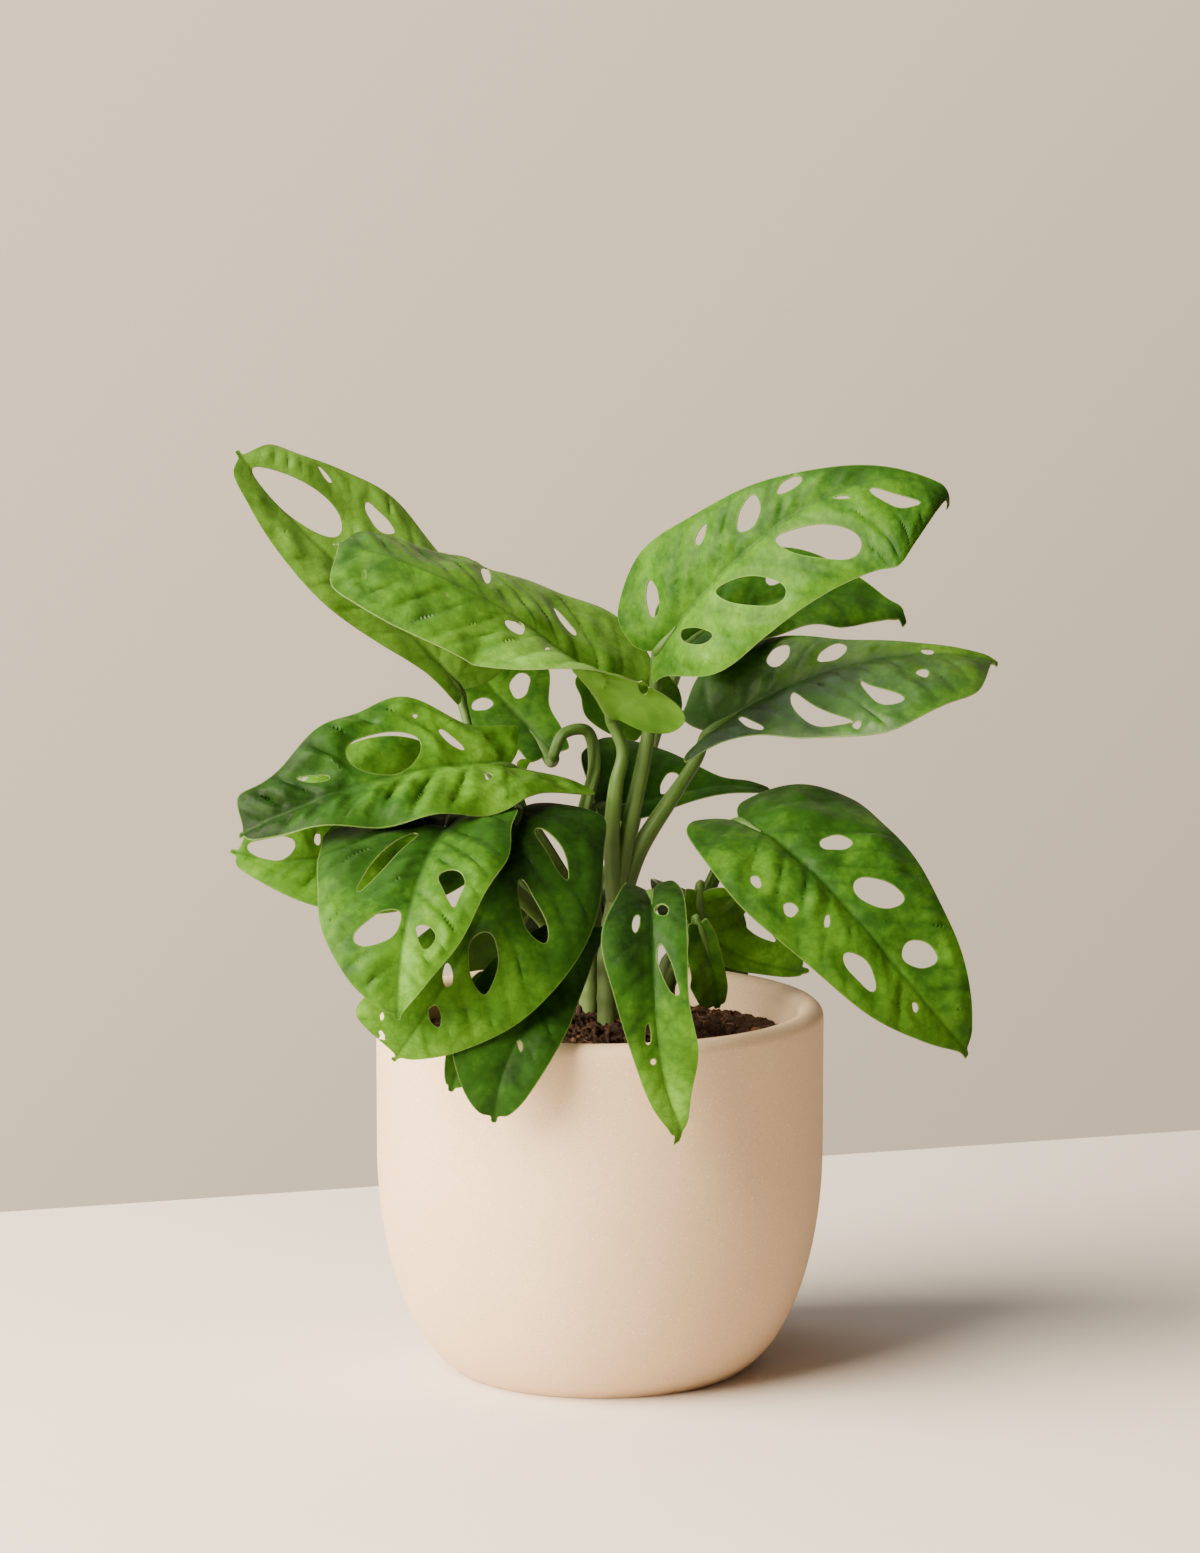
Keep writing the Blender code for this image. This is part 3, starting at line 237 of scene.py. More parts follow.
# Each climbing stem: its foot in the soil, the fat lower stem, then one stalk a leaf. A stalk is its way
# points, its radii at the lower and the upper end, and the leaf it carries.
STEMS = {
    "vine_front": dict(
        foot=(3, -7), radius=4.4, trunk=[(3, -7, 140), (6, -8, 164)], top_radius=3.4,
        stalks=[
            ([(5, -8, 160), (4, -10.5, 181), (5.5, -12, 199), (7.5, -11, 210)], 3.2, 2.0, "leaf_upper_front"),
            ([(6, -8, 160), (9, -7.5, 180), (14.5, -6.8, 206), (17.5, -6.8, 226)], 3.2, 2.1,
             "leaf_top_right"),
            ([(6, -7, 158), (13, -5, 176), (24, -1, 193), (32, 3, 205)], 3.9, 2.1, "leaf_right"),
            ([(3, -9, 146), (8, -26, 156), (13, -44, 165)], 2.6, 1.7, "leaf_over_rim_front"),
        ]),
    "vine_left": dict(
        foot=(-16, -5), radius=4.6, trunk=[(-16, -5, 140), (-17, -8, 158)], top_radius=3.6,
        stalks=[
            ([(-17, -8, 154), (-22, -11, 174), (-26, -17, 187)], 3.0, 1.9, "leaf_front_large"),
            ([(-17, -9, 152), (-31, -25, 168), (-42, -33, 180)], 3.0, 1.9, "leaf_front_left"),
            ([(-17, -7, 154), (-24, -6, 182), (-28, -10, 197)], 3.0, 1.9, "leaf_left_wavy"),
            ([(-17, -5, 150), (-30, 2, 166), (-41, 2, 180)], 2.8, 1.8, "leaf_left_under"),
            ([(-16, -7, 136), (-10, -24, 142), (-6, -34, 150)], 2.6, 1.6, "leaf_over_rim_left"),
            ([(-17, -7, 130), (-24, -26, 131), (-31, -40, 134)], 2.4, 1.5, "leaf_over_rim_tip"),
        ]),
    "vine_back": dict(
        foot=(-3, 18), radius=4.6, trunk=[(-3, 18, 140), (-3, 17, 160)], top_radius=3.6,
        stalks=[
            ([(-5, 16, 150), (-22, 10, 180), (-40, 9, 205), (-45.5, 15, 220)], 2.8, 1.6, "leaf_top_left"),
            ([(-3, 17, 154), (-6, 17, 180), (-2, 15, 200), (-4, 12, 213), (-12, 9, 213)], 2.8, 1.9,
             "leaf_left_back"),
            ([(-2, 18, 152), (-1, 22, 170), (-1, 22, 182)], 2.8, 1.8, "leaf_narrow_back"),
            ([(-1, 19, 152), (5, 38, 168), (9, 56, 194), (10, 54, 217), (10, 42, 230)], 2.8, 1.6,
             "leaf_behind_stems"),
            ([(0, 19, 150), (9, 42, 168), (17, 60, 198), (25, 53, 224), (29, 35, 238)], 2.8, 1.7,
             "leaf_behind_top_right"),
            ([(-5, 20, 138), (-8, 27, 145), (-9.5, 32, 151)], 2.6, 1.7, "leaf_back_left"),
        ]),
    "vine_right": dict(
        foot=(22, 4), radius=4.2, trunk=[(22, 4, 128), (24, 6, 140)], top_radius=3.2,
        stalks=[
            ([(24, 6, 136), (36, 22, 156), (44, 16, 176), (45, 2, 183)], 2.8, 1.9, "leaf_front_right"),
            ([(24, 6, 134), (28, 9, 146), (32, 10, 154)], 2.6, 1.6, "leaf_right_back"),
            ([(23, 3, 128), (27, -14, 142), (31, -26, 150)], 2.2, 1.3, "leaf_small_by_soil"),
            ([(24, 8, 132), (29, 24, 138), (32, 34, 145)], 2.6, 1.7, "leaf_back_right"),
        ]),
}

# How each leaf looks beyond its plan, where it differs from PLAIN_LOOK.
# tone: how bright its (left, right) halves are, from 0 for dark to 1 for yellow-green, the leaf's own colour
# together with painted light and shade for how brightly each half is lit.
# sheen: how strongly the face shines. drift: painted light, how much brighter the tip is painted than the
# base.
# lumps, puff, crinkle: heights in mm of the blade's soft swells, of the cushions between side veins and of
# the fine pleats. lift: how far the whole blade is moved off its plan, in mm.
# waves: swells of a half's margin, as (side, height in mm, count, phase in turns).
# tip: how far the drip tip hooks, in mm, as (across, off the face). small: further holes, as in LEAVES.
PLAIN_LOOK = dict(sheen=0.07, painted_light_drift=0, crinkle=0.1, lift=0, waves=[], tip=(0, 0), small=[])
LOOKS = {
    # painted highlight: this leaf's halves are set near the palest green for the sheen and light on it
    "leaf_top_left": dict(
        tone_and_painted_light=(0.9, 0.98), sheen=0.42, lumps=1.1, puff=1, crinkle=0.2, waves=[(1, 1.2, 1.6, 0.2)],
        tip=(0, -0.6), small=[(20.6, 84.6, 9.4, 1.6, 3, 0.6, 0.4)]),
    # painted light: this leaf is set brighter, lighter toward its base, where the leaf above it shades it
    "leaf_upper_front": dict(
        tone_and_painted_light=(0.74, 0.72), sheen=0.2, painted_light_drift=-0.5, lumps=1.1, puff=0.9, crinkle=0.24,
        waves=[(-1, 0.8, 2, 0.1)], tip=(0, -1),
        small=[(-6, 36.6, 7, 1.6, -68, 0.4, 0.2), (-9, 101.8, 3.4, 1.2, 70, 0, 0.6),
               (-5.3, 74.3, 1.6, 0.8, 60, 0, 0)]),
    "leaf_top_right": dict(
        tone_and_painted_light=(0.42, 0.55), painted_light_drift=-0.2, lumps=0.6, puff=1, crinkle=0.28, waves=[(1, 0.9, 2.2, 0.3)],
        tip=(3.5, -3.5), small=[(3.3, 86, 6.4, 1.4, 27, 0, 0.1)]),
    "leaf_behind_top_right": dict(
        tone_and_painted_light=(0.38, 0.42), lumps=0.8, puff=0.5, waves=[(1, 1.2, 2, 0)], tip=(2.5, -3)),
    "leaf_right": dict(
        tone_and_painted_light=(0.6, 0.3), sheen=0.26, painted_light_drift=0.4, lumps=0.7, puff=0.8, crinkle=0.14,
        waves=[(1, 0.8, 2.4, 0.2)], tip=(0, -1),
        small=[(-1, 79.2, 5.4, 1.7, -168, 0.6, 0.5), (33.8, 57.1, 3.9, 3.2, -163, 0.3, 0)]),
    "leaf_behind_stems": dict(
        tone_and_painted_light=(0.4, 0.42), lumps=0.4, puff=0.4),
    "leaf_left_back": dict(
        tone_and_painted_light=(0.42, 0.5), lumps=0.5, puff=0.4),
    # painted light: this leaf is set much brighter at its base than at its tip, against the shade at its base
    "leaf_left_wavy": dict(
        tone_and_painted_light=(0.42, 0.38), sheen=0.08, painted_light_drift=-0.8, lumps=2.1, puff=1.9, crinkle=0.6,
        waves=[(-1, 1.4, 3, 0.1), (1, 1.2, 3, 0.4)], tip=(0, -1),
        small=[(21.1, 28.1, 2.5, 1.6, 59, 0.7, -0.3), (-8.3, 12.8, 4.9, 2.5, -72, 0.1, 0.6)]),
    "leaf_left_under": dict(
        tone_and_painted_light=(0.64, 0.62), lumps=1, puff=0.7, crinkle=0.3, waves=[(1, 0.8, 2, 0)],
        small=[(6.6, 55.6, 4.9, 2.1, 105, 0.5, 0.2)]),
    "leaf_front_left": dict(
        tone_and_painted_light=(0.56, 0.34), painted_light_drift=0.5, lumps=1.2, puff=1.3, crinkle=0.26, lift=-0.55,
        waves=[(-1, 0.9, 2, 0.3), (1, 0.9, 2, 0.1)], tip=(0, -1)),
    "leaf_front_large": dict(
        tone_and_painted_light=(0.4, 0.42), painted_light_drift=0.65, lumps=0.8, puff=0.7, crinkle=0.12, waves=[(-1, 0.8, 1.8, 0.3)],
        small=[(11.1, 100.1, 3.1, 1.3, -29, 0.3, 0), (7.6, 105.2, 3.8, 1.5, -60, 0.1, 0)]),
    "leaf_over_rim_left": dict(
        tone_and_painted_light=(0.26, 0.26), painted_light_drift=0.1, lumps=0.8, puff=0.5, small=[(-1.6, 54, 4.3, 1.4, 145, -0.1, -0.2)]),
    "leaf_over_rim_tip": dict(
        tone_and_painted_light=(0.42, 0.42), lumps=0.3, puff=0.3),
    "leaf_over_rim_front": dict(
        tone_and_painted_light=(0.46, 0.36), painted_light_drift=0.8, lumps=0.7, puff=0.6, crinkle=0.12, waves=[(1, 0.8, 2, 0.2)],
        tip=(4, -2), small=[(2.3, 66.9, 2.1, 2, -79, 0, 0)]),
    # painted light: this leaf is set bright where the leaf in front of it shades it
    "leaf_right_back": dict(
        tone_and_painted_light=(0.72, 0.66), lumps=0.6, puff=0.5),
    "leaf_front_right": dict(
        tone_and_painted_light=(0.42, 0.56), painted_light_drift=0.2, lumps=1.1, puff=1, crinkle=0.26,
        waves=[(-1, 0.9, 2.4, 0.2), (1, 0.7, 2, 0)], tip=(1, -1),
        small=[(9.5, 55.2, 5.5, 1.8, -133, 0.4, -0.1), (4.2, 94.2, 3.8, 2.2, 42, 0.3, 0.1)]),
    "leaf_small_by_soil": dict(
        tone_and_painted_light=(0.52, 0.56), painted_light_drift=0.1, lumps=0.4, puff=0.6, waves=[(1, 0.9, 3, 0)]),
    "leaf_narrow_back": dict(
        tone_and_painted_light=(0.3, 0.34), lumps=0.5, puff=0.4),
    # painted shade: the two leaves at the back are set dark, for leaves seen only in shadow between the
    # others
    "leaf_back_left": dict(
        tone_and_painted_light=(0.22, 0.08), lumps=0.9, puff=0.5, waves=[(1, 0.8, 2, 0)], tip=(0, -1)),
    "leaf_back_right": dict(
        tone_and_painted_light=(0.12, 0.12), lumps=0.8, puff=0.5, waves=[(-1, 0.8, 2, 0)], tip=(0, -1)),
}


# ---------------------------------------------------------------- sizes and colours a user would change
def swatch(name, description, default):
    """A colour that the sidebar shows as a swatch."""
    return bpy.props.FloatVectorProperty(
        name=name, description=description, default=default, subtype="COLOR", size=3, min=0, max=1)


def measure(name, description, default_mm):
    """A length that the sidebar shows in the scene's units."""
    return bpy.props.FloatProperty(name=name, description=description, default=default_mm * MM, unit="LENGTH")


class LeafSettings(bpy.types.PropertyGroup):
    """Sizes and colours of the leaf blades."""
    net: bpy.props.FloatProperty(
        name="Net", description="Spacing of the blade's net of points, in millimetres", default=1.0, min=0.4,
        max=4.0)
    blade: measure("Blade", "Thickness of a blade between its veins", 0.50)
    edge: measure("Edge", "Thickness of a blade at its margin and holes", 0.34)
    keel: measure("Keel", "Height of the midrib under the blade at the leaf's base", 1.5)
    vein_gap: measure("Vein gap", "Widest space between side veins where they leave the midrib", 13.0)
    # these greens are picked by each point's tone, which holds painted light and shade as well as a blade's
    # age, so dark and pale also stand for shaded and lit blades
    dark: swatch("Dark green", "Colour of the oldest blades", (0.0075, 0.025, 0.0040))
    middle: swatch("Middle green", "Colour of full grown blades", (0.0245, 0.087, 0.009))
    bright: swatch("Bright green", "Colour of the youngest blades", (0.080, 0.215, 0.014))
    pale: swatch("Pale green", "Colour of the palest parts", (0.150, 0.350, 0.035))
    rim: swatch("Rim", "Colour of the thin pale margin and hole rims", (0.13, 0.225, 0.050))


class VineSettings(bpy.types.PropertyGroup):
    """Sizes and colours of the climbing stems and stalks."""
    sides: bpy.props.IntProperty(
        name="Sides", description="Points round a stalk", default=26, min=8, max=64)
    groove: bpy.props.FloatProperty(
        name="Groove", description="Depth of the groove along a stalk, as a part of its radius", default=0.26,
        min=0, max=0.6)
    green: swatch("Stalk green", "Colour of the stalks", (0.044, 0.098, 0.014))
    old: swatch("Old stem", "Colour of the stems near the soil", (0.105, 0.160, 0.048))


class PotSettings(bpy.types.PropertyGroup):
    """Sizes and colours of the pot and the soil."""
    radius: measure("Radius", "Outer radius of the pot's straight wall", POT_RADIUS)
    wobble: measure("Wobble", "How far the hand-finished wall strays from round", 0.16)
    clay: swatch("Clay", "Colour of the unglazed pot", (0.66, 0.485, 0.315))
    soil: swatch("Soil", "Colour of the potting soil", (0.050, 0.024, 0.013))
    crumbs: bpy.props.IntProperty(
        name="Crumbs", description="Number of loose crumbs on the soil", default=850, min=0, max=3000)


class StageSettings(bpy.types.PropertyGroup):
    """Colours of the floor and backdrop, and the strength of the lights."""
    floor: swatch("Floor", "Colour of the floor", (0.74, 0.66, 0.60))
    backdrop: swatch("Backdrop", "Colour of the backdrop", (1.0, 0.79, 0.575))
    key: bpy.props.FloatProperty(
        name="Key light", description="Power of the large light on the left", default=280.0, min=0,
        unit="POWER")
    fill: bpy.props.FloatProperty(
        name="Fill", description="Strength of the even light of the room", default=0.08, min=0)


# ---------------------------------------------------------------- lines and blades
def smooth_line(points, per_span):
    """A Catmull-Rom line: between points b and c the cubic that leaves b along c - a and meets c along
    d - b, where a and d are the points before and after, per_span samples a span."""
    p = np.asarray(points, float)
    p = np.vstack([2 * p[0] - p[1], p, 2 * p[-1] - p[-2]])
    t = np.linspace(0, 1, per_span, endpoint=False)[:, None]
    parts = []
    for i in range(1, len(p) - 2):
        a, b, c, d = p[i - 1], p[i], p[i + 1], p[i + 2]
        cubic = 2 * b + (c - a) * t + (2 * a - 5 * b + 4 * c - d) * t ** 2 + (3 * b - a - 3 * c + d) * t ** 3
        parts.append(0.5 * cubic)
    parts.append(p[-2][None])
    return np.vstack(parts)


def along(table, k):
    """Values given at even steps along the leaf, read at the parts k of its length."""
    t = np.asarray(table, float)
    if len(t) == 1:
        return np.broadcast_to(t[0], np.shape(k) + t[0].shape)
    steps = np.linspace(0, 1, len(t))
    return np.stack([np.interp(k, steps, t[:, i]) for i in range(t.shape[1])], -1)


def smoothstep(low, high, x):
    """0 below low, 1 above high, 3t^2 - 2t^3 between."""
    t = np.clip((x - low) / (high - low), 0, 1)
    return t * t * (3 - 2 * t)


def unit(v):
    """Vectors divided by their lengths."""
    return v / np.maximum(np.linalg.norm(v, axis=-1, keepdims=True), 1e-12)


def soft_noise(points, size, seed):
    """Smooth noise between about -1 and 1: the sum of seven plane waves of a length near size, each in a
    direction and phase drawn from the seed."""
    rng = np.random.default_rng(seed)
    p = np.asarray(points, float)
    total = 0
    for _ in range(7):
        way = unit(rng.normal(size=p.shape[-1]))
        wave = size * rng.uniform(0.75, 1.5)
        total = total + np.sin(2 * math.pi * (p @ way) / wave + rng.uniform(0, 6.3))
    return total / 3.2


class Blade:
    """The curved surface a leaf lies on, from flat leaf measures (across, along) to the plant's space."""

    def __init__(self, spec):
        """Finds the polynomial through the midrib's points, spaced by their chords, and its length."""
        self.spec = spec
        mid = np.asarray(spec["midrib"], float)
        chord = np.r_[0, np.cumsum(np.linalg.norm(np.diff(mid, axis=0), axis=1))]
        self.coef = np.linalg.solve(np.vander(chord / chord[-1], increasing=True), mid)
        self.t = np.linspace(0, 1, 240)
        run = np.linalg.norm(np.diff(self.curve(self.t), axis=0), axis=1)
        self.run = np.r_[0, np.cumsum(run)]
        self.length = float(self.run[-1])

    def curve(self, t):
        """The midrib: a polynomial in t through the leaf's midrib points."""
        return sum(self.coef[k] * t[..., None] ** k for k in range(len(self.coef)))

    def frame(self, y):
        """Point, tangent, face normal and cross direction of the midrib at y millimetres."""
        t = np.interp(np.clip(y, 0, self.length), self.run, self.t)
        tangent = unit(sum(k * self.coef[k] * t[..., None] ** (k - 1) for k in range(1, len(self.coef))))
        over = np.where(y < 0, y, np.where(y > self.length, y - self.length, 0))
        point = self.curve(t) + tangent * over[..., None]
        normal = along(self.spec["facing"], np.clip(y / self.length, 0, 1))
        normal = unit(normal - (normal * tangent).sum(-1, keepdims=True) * tangent)
        return point, tangent, normal, np.cross(tangent, normal)

    def surface(self, x, y):
        """x across the leaf (positive to the right, seen from its face), y along it. Each half leaves the
        midrib at its fold angle and bends evenly, so it goes out (sin(f + q|x|) - sin f) / q and up
        (cos f - cos(f + q|x|)) / q, f the fold and q the bend a millimetre."""
        x, y = np.broadcast_arrays(np.asarray(x, float), np.asarray(y, float))
        point, _, normal, cross = self.frame(y)
        k = np.clip(y / self.length, 0, 1)
        side = (x >= 0).astype(int)[..., None]
        fold = np.radians(np.take_along_axis(along(self.spec["fold"], k), side, -1))[..., 0]
        bend = np.radians(np.take_along_axis(along(self.spec["curl"], k), side, -1))[..., 0] / 30.0
        bend = np.where(np.abs(bend) < 1e-6, 1e-6, bend)
        reach = np.abs(x)
        out = (np.sin(fold + bend * reach) - np.sin(fold)) / bend
        rise = (np.cos(fold) - np.cos(fold + bend * reach)) / bend
        return point + cross * (np.sign(x) * out)[..., None] + normal * rise[..., None]

    def normals(self, x, y):
        """Unit normals on the face side, from small steps across and along."""
        dx = self.surface(x + 0.6, y) - self.surface(x - 0.6, y)
        dy = self.surface(x, y + 0.6) - self.surface(x, y - 0.6)
        n = unit(np.cross(dy, dx))
        face = self.frame(np.asarray(y, float))[2]
        return n * np.sign((n * face).sum(-1, keepdims=True))

    def half(self, side):
        """One half of the margin from the notch at the base to the drip tip."""
        widths = self.spec[side]
        out, back = self.spec["lobes"][0 if side == "left" else 1]
        pts = [(0, 0), (out * 0.45, -back * 0.8), (out, -back), (max(widths[0], out), -back * 0.2)]
        pts += [(w, k * self.length) for w, k in zip(widths[1:], STATIONS[1:])]
        pts += [(1.35, self.length - 2.6), (0.95, self.length - 1.0), (0.6, self.length)]
        return smooth_line(pts, 8)

    def half_width(self, side, y):
        """Half width of one side at y."""
        return np.interp(y, np.array(STATIONS) * self.length, np.maximum(self.spec[side], 1.0))

    def margin(self):
        """The closed margin, right half up to the tip and left half back."""
        left = self.half("left") * [-1, 1]
        return np.vstack([self.half("right"), left[::-1][:-1]])

    def hole_lines(self, small):
        """Closed shapes, pointed by egg and bent by bean: r1 = length/2 cos a along the slant and r2 =
        width/2 (sin a (1 - egg cos a) + bean (cos^2 a - 1/2)) across it, both with a slight stray in a."""
        loops = []
        th = np.linspace(0, 2 * math.pi, HOLE_POINTS, endpoint=False)
        for across, y, length, width, slant, egg, bean in list(self.spec["holes"]) + list(small):
            a = math.radians(slant)
            r1 = length / 2 * np.cos(th)
            r2 = width / 2 * (np.sin(th) * (1 - egg * np.cos(th)) + bean * (np.cos(th) ** 2 - 0.5))
            stray = min(0.05, 0.35 / width) * (np.sin(3 * th + y) + 0.7 * np.sin(5 * th + 2 * across + y))
            r1, r2 = r1 * (1 + 0.5 * stray), r2 * (1 + stray)
            loops.append(np.stack([across + r1 * math.sin(a) + r2 * math.cos(a),
                                   y + r1 * math.cos(a) - r2 * math.sin(a)], -1))
        return loops


def to_loops(points, loops):
    """Signed distance of each point to the nearest loop, positive in the leaf's tissue, and that nearest
    point. The sign counts crossings of a ray with all the loops: odd is inside."""
    best = np.full(len(points), 1e18)
    near = np.zeros_like(points)
    crossings = np.zeros(len(points), int)
    x, y = points.T
    for loop in loops:
        for (ax, ay), (bx, by) in zip(loop, np.roll(loop, -1, axis=0)):
            dx, dy = bx - ax, by - ay
            t = np.clip(((x - ax) * dx + (y - ay) * dy) / max(dx * dx + dy * dy, 1e-12), 0, 1)
            qx, qy = ax + t * dx, ay + t * dy
            d = (x - qx) ** 2 + (y - qy) ** 2
            hit = d < best
            best = np.where(hit, d, best)
            near[hit, 0], near[hit, 1] = qx[hit], qy[hit]
            if ay != by:
                crossings += ((ay > y) != (by > y)) & (x < dx * (y - ay) / dy + ax)
    return np.sqrt(best) * np.where(crossings % 2 == 1, 1, -1), near


def cut_net(points, faces, inside):
    """The part of a triangle net where inside > 0: whole triangles are kept, and the others are cut where
    inside passes zero along their edges. Returns points (with the values mixed the same way) and faces."""
    sign = np.where(inside > 0, 1, np.where(inside < 0, -1, 0))
    s = sign[faces]
    low, high = s.min(1), s.max(1)
    kept = [faces[(low >= 0) & (high > 0)]]
    extra, keys = [], {}
    mixed = faces[(low < 0) & (high > 0)]
    ms = sign[mixed]
    count = len(points)

    def crossing(a, b):
        """Numbers of the new points on the edges a-b, one for each edge."""
        lo, hi = np.minimum(a, b), np.maximum(a, b)
        code = lo.astype(np.int64) * count + hi
        for c in np.unique(code):
            if c not in keys:
                keys[c] = count + len(keys)
        return np.array([keys[c] for c in code], int)

    for turn in range(3):
        p, q, r = np.roll(mixed, -turn, 1).T
        a, b, c = np.roll(ms, -turn, 1).T
        sel = (a > 0) & (b < 0) & (c < 0)
        if sel.any():
            extra.append(np.stack([p[sel], crossing(p[sel], q[sel]), crossing(p[sel], r[sel])], 1))
        sel = (a > 0) & (b > 0) & (c < 0)
        if sel.any():
            qr, pr = crossing(q[sel], r[sel]), crossing(p[sel], r[sel])
            extra.append(np.stack([p[sel], q[sel], qr], 1))
            extra.append(np.stack([p[sel], qr, pr], 1))
        sel = (a > 0) & (b == 0) & (c < 0)
        if sel.any():
            extra.append(np.stack([p[sel], q[sel], crossing(p[sel], r[sel])], 1))
        sel = (a > 0) & (b < 0) & (c == 0)
        if sel.any():
            extra.append(np.stack([p[sel], crossing(p[sel], q[sel]), r[sel]], 1))
    codes = np.array(sorted(keys, key=keys.get), np.int64)
    lo, hi = codes // count, codes % count
    t = (inside[lo] / (inside[lo] - inside[hi]))[:, None]
    points = np.vstack([points, points[lo] * (1 - t) + points[hi] * t])
    inside = np.r_[inside, np.zeros(len(codes))]
    faces = np.vstack(kept + extra)
    used = np.unique(faces)
    number = np.full(len(points), -1)
    number[used] = np.arange(len(used))
    return points[used], number[faces], inside[used]


def largest_part(points, faces, inside):
    """The largest connected part of a net: each point takes the lowest number it is joined to."""
    label = np.arange(len(points))
    while True:
        lower = label.copy()
        np.minimum.at(lower, faces.ravel(), np.repeat(label[faces].min(1), 3))
        lower = lower[lower]
        if (lower == label).all():
            break
        label = lower
    part = label[faces[:, 0]]
    faces = faces[part == np.bincount(part).argmax()]
    used = np.unique(faces)
    number = np.full(len(points), -1)
    number[used] = np.arange(len(used))
    return points[used], number[faces], inside[used]


def rim_edges(faces):
    """Edges that only one triangle uses, in that triangle's direction."""
    e = np.vstack([faces[:, [0, 1]], faces[:, [1, 2]], faces[:, [2, 0]]]).astype(np.int64)
    n = int(faces.max()) + 1
    there, back = e[:, 0] * n + e[:, 1], e[:, 1] * n + e[:, 0]
    return e[~np.isin(there, back)]


# ---------------------------------------------------------------- meshes
def write_mesh(name, points, faces, materials, slots=None, values=None, plan=None, crease=40.0):
    """A finished mesh object from millimetre points and a list of face arrays, with a material number for
    each face, named values for each point and a flat plan for its UV map."""
    mesh = bpy.data.meshes.new(name)
    faces = [np.asarray(f, int) for f in faces if len(f)]
    mesh.from_pydata(np.asarray(points, float) * MM, [], [row for f in faces for row in f.tolist()])
    mesh.polygons.foreach_set("use_smooth", np.ones(len(mesh.polygons), bool))
    for mat in materials:
        mesh.materials.append(mat)
    if slots is not None:
        mesh.polygons.foreach_set("material_index", np.asarray(slots, np.int32))
    for key, value in (values or {}).items():
        mesh.attributes.new(key, "FLOAT", "POINT").data.foreach_set("value", np.asarray(value, np.float32))
    if plan is not None:
        corner = np.empty(len(mesh.loops), np.int32)
        mesh.loops.foreach_get("vertex_index", corner)
        layer = mesh.uv_layers.new(name="plan")
        layer.data.foreach_set("uv", np.asarray(plan, np.float32)[corner].ravel())
    mesh.update()
    if crease:
        mesh.set_sharp_from_angle(angle=math.radians(crease))
    ob = bpy.data.objects.new(name, mesh)
    bpy.context.scene.collection.objects.link(ob)
    return ob


def dress(ob, node):
    """The piece rides on the plant's one body, and the CAD node that it stands for, if any, is hidden."""
    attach(ob, BODY)
    if node:
        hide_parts(node)


# ---------------------------------------------------------------- the leaf
def vein_starts(spec, small, vein_of, gap, length):
    """For each half, where its side veins leave the midrib: midway between the holes, and evenly in
    between where that leaves more than the widest gap."""
    starts = []
    for sign in (-1, 1):
        holes = [h for h in list(spec["holes"]) + list(small) if h[0] * sign > 0 and h[2] > 7]
        at = sorted(float(vein_of(np.array(float(h[0])), np.array(float(h[1])))) for h in holes)
        cuts = [3.0] + [(a + b) / 2 for a, b in zip(at, at[1:]) if b - a > 6] + [length * 0.9]
        if at:
            cuts = sorted(set(cuts + [max(at[0] - gap * 0.5, 1.5), min(at[-1] + gap * 0.5, length * 0.88)]))
        full = []
        for a, b in zip(cuts, cuts[1:]):
            n = max(1, int(math.ceil((b - a) / gap)))
            full += [a + (b - a) * i / n for i in range(n)]
        full = np.array(full + [cuts[-1]])
        starts.append(full[np.r_[True, np.diff(full) > 4.5]])
    return starts


def vein_start_at(x, y, slope=0.8, bow=0.004):
    """Where the side vein through (x, y) leaves the midrib. A vein from s runs y = s + |x| a(s) + bow x^2,
    with a(s) = slope tanh((s + 2) / 14), solved for s by Newton's steps."""
    s = np.asarray(y, float) - np.abs(x) * 0.5
    for _ in range(8):
        a = slope * np.tanh((s + 2) / 14)
        da = slope / 14 / np.cosh((s + 2) / 14) ** 2
        s = s - (s + np.abs(x) * a + bow * x * x - y) / (1 + np.abs(x) * da)
    return s


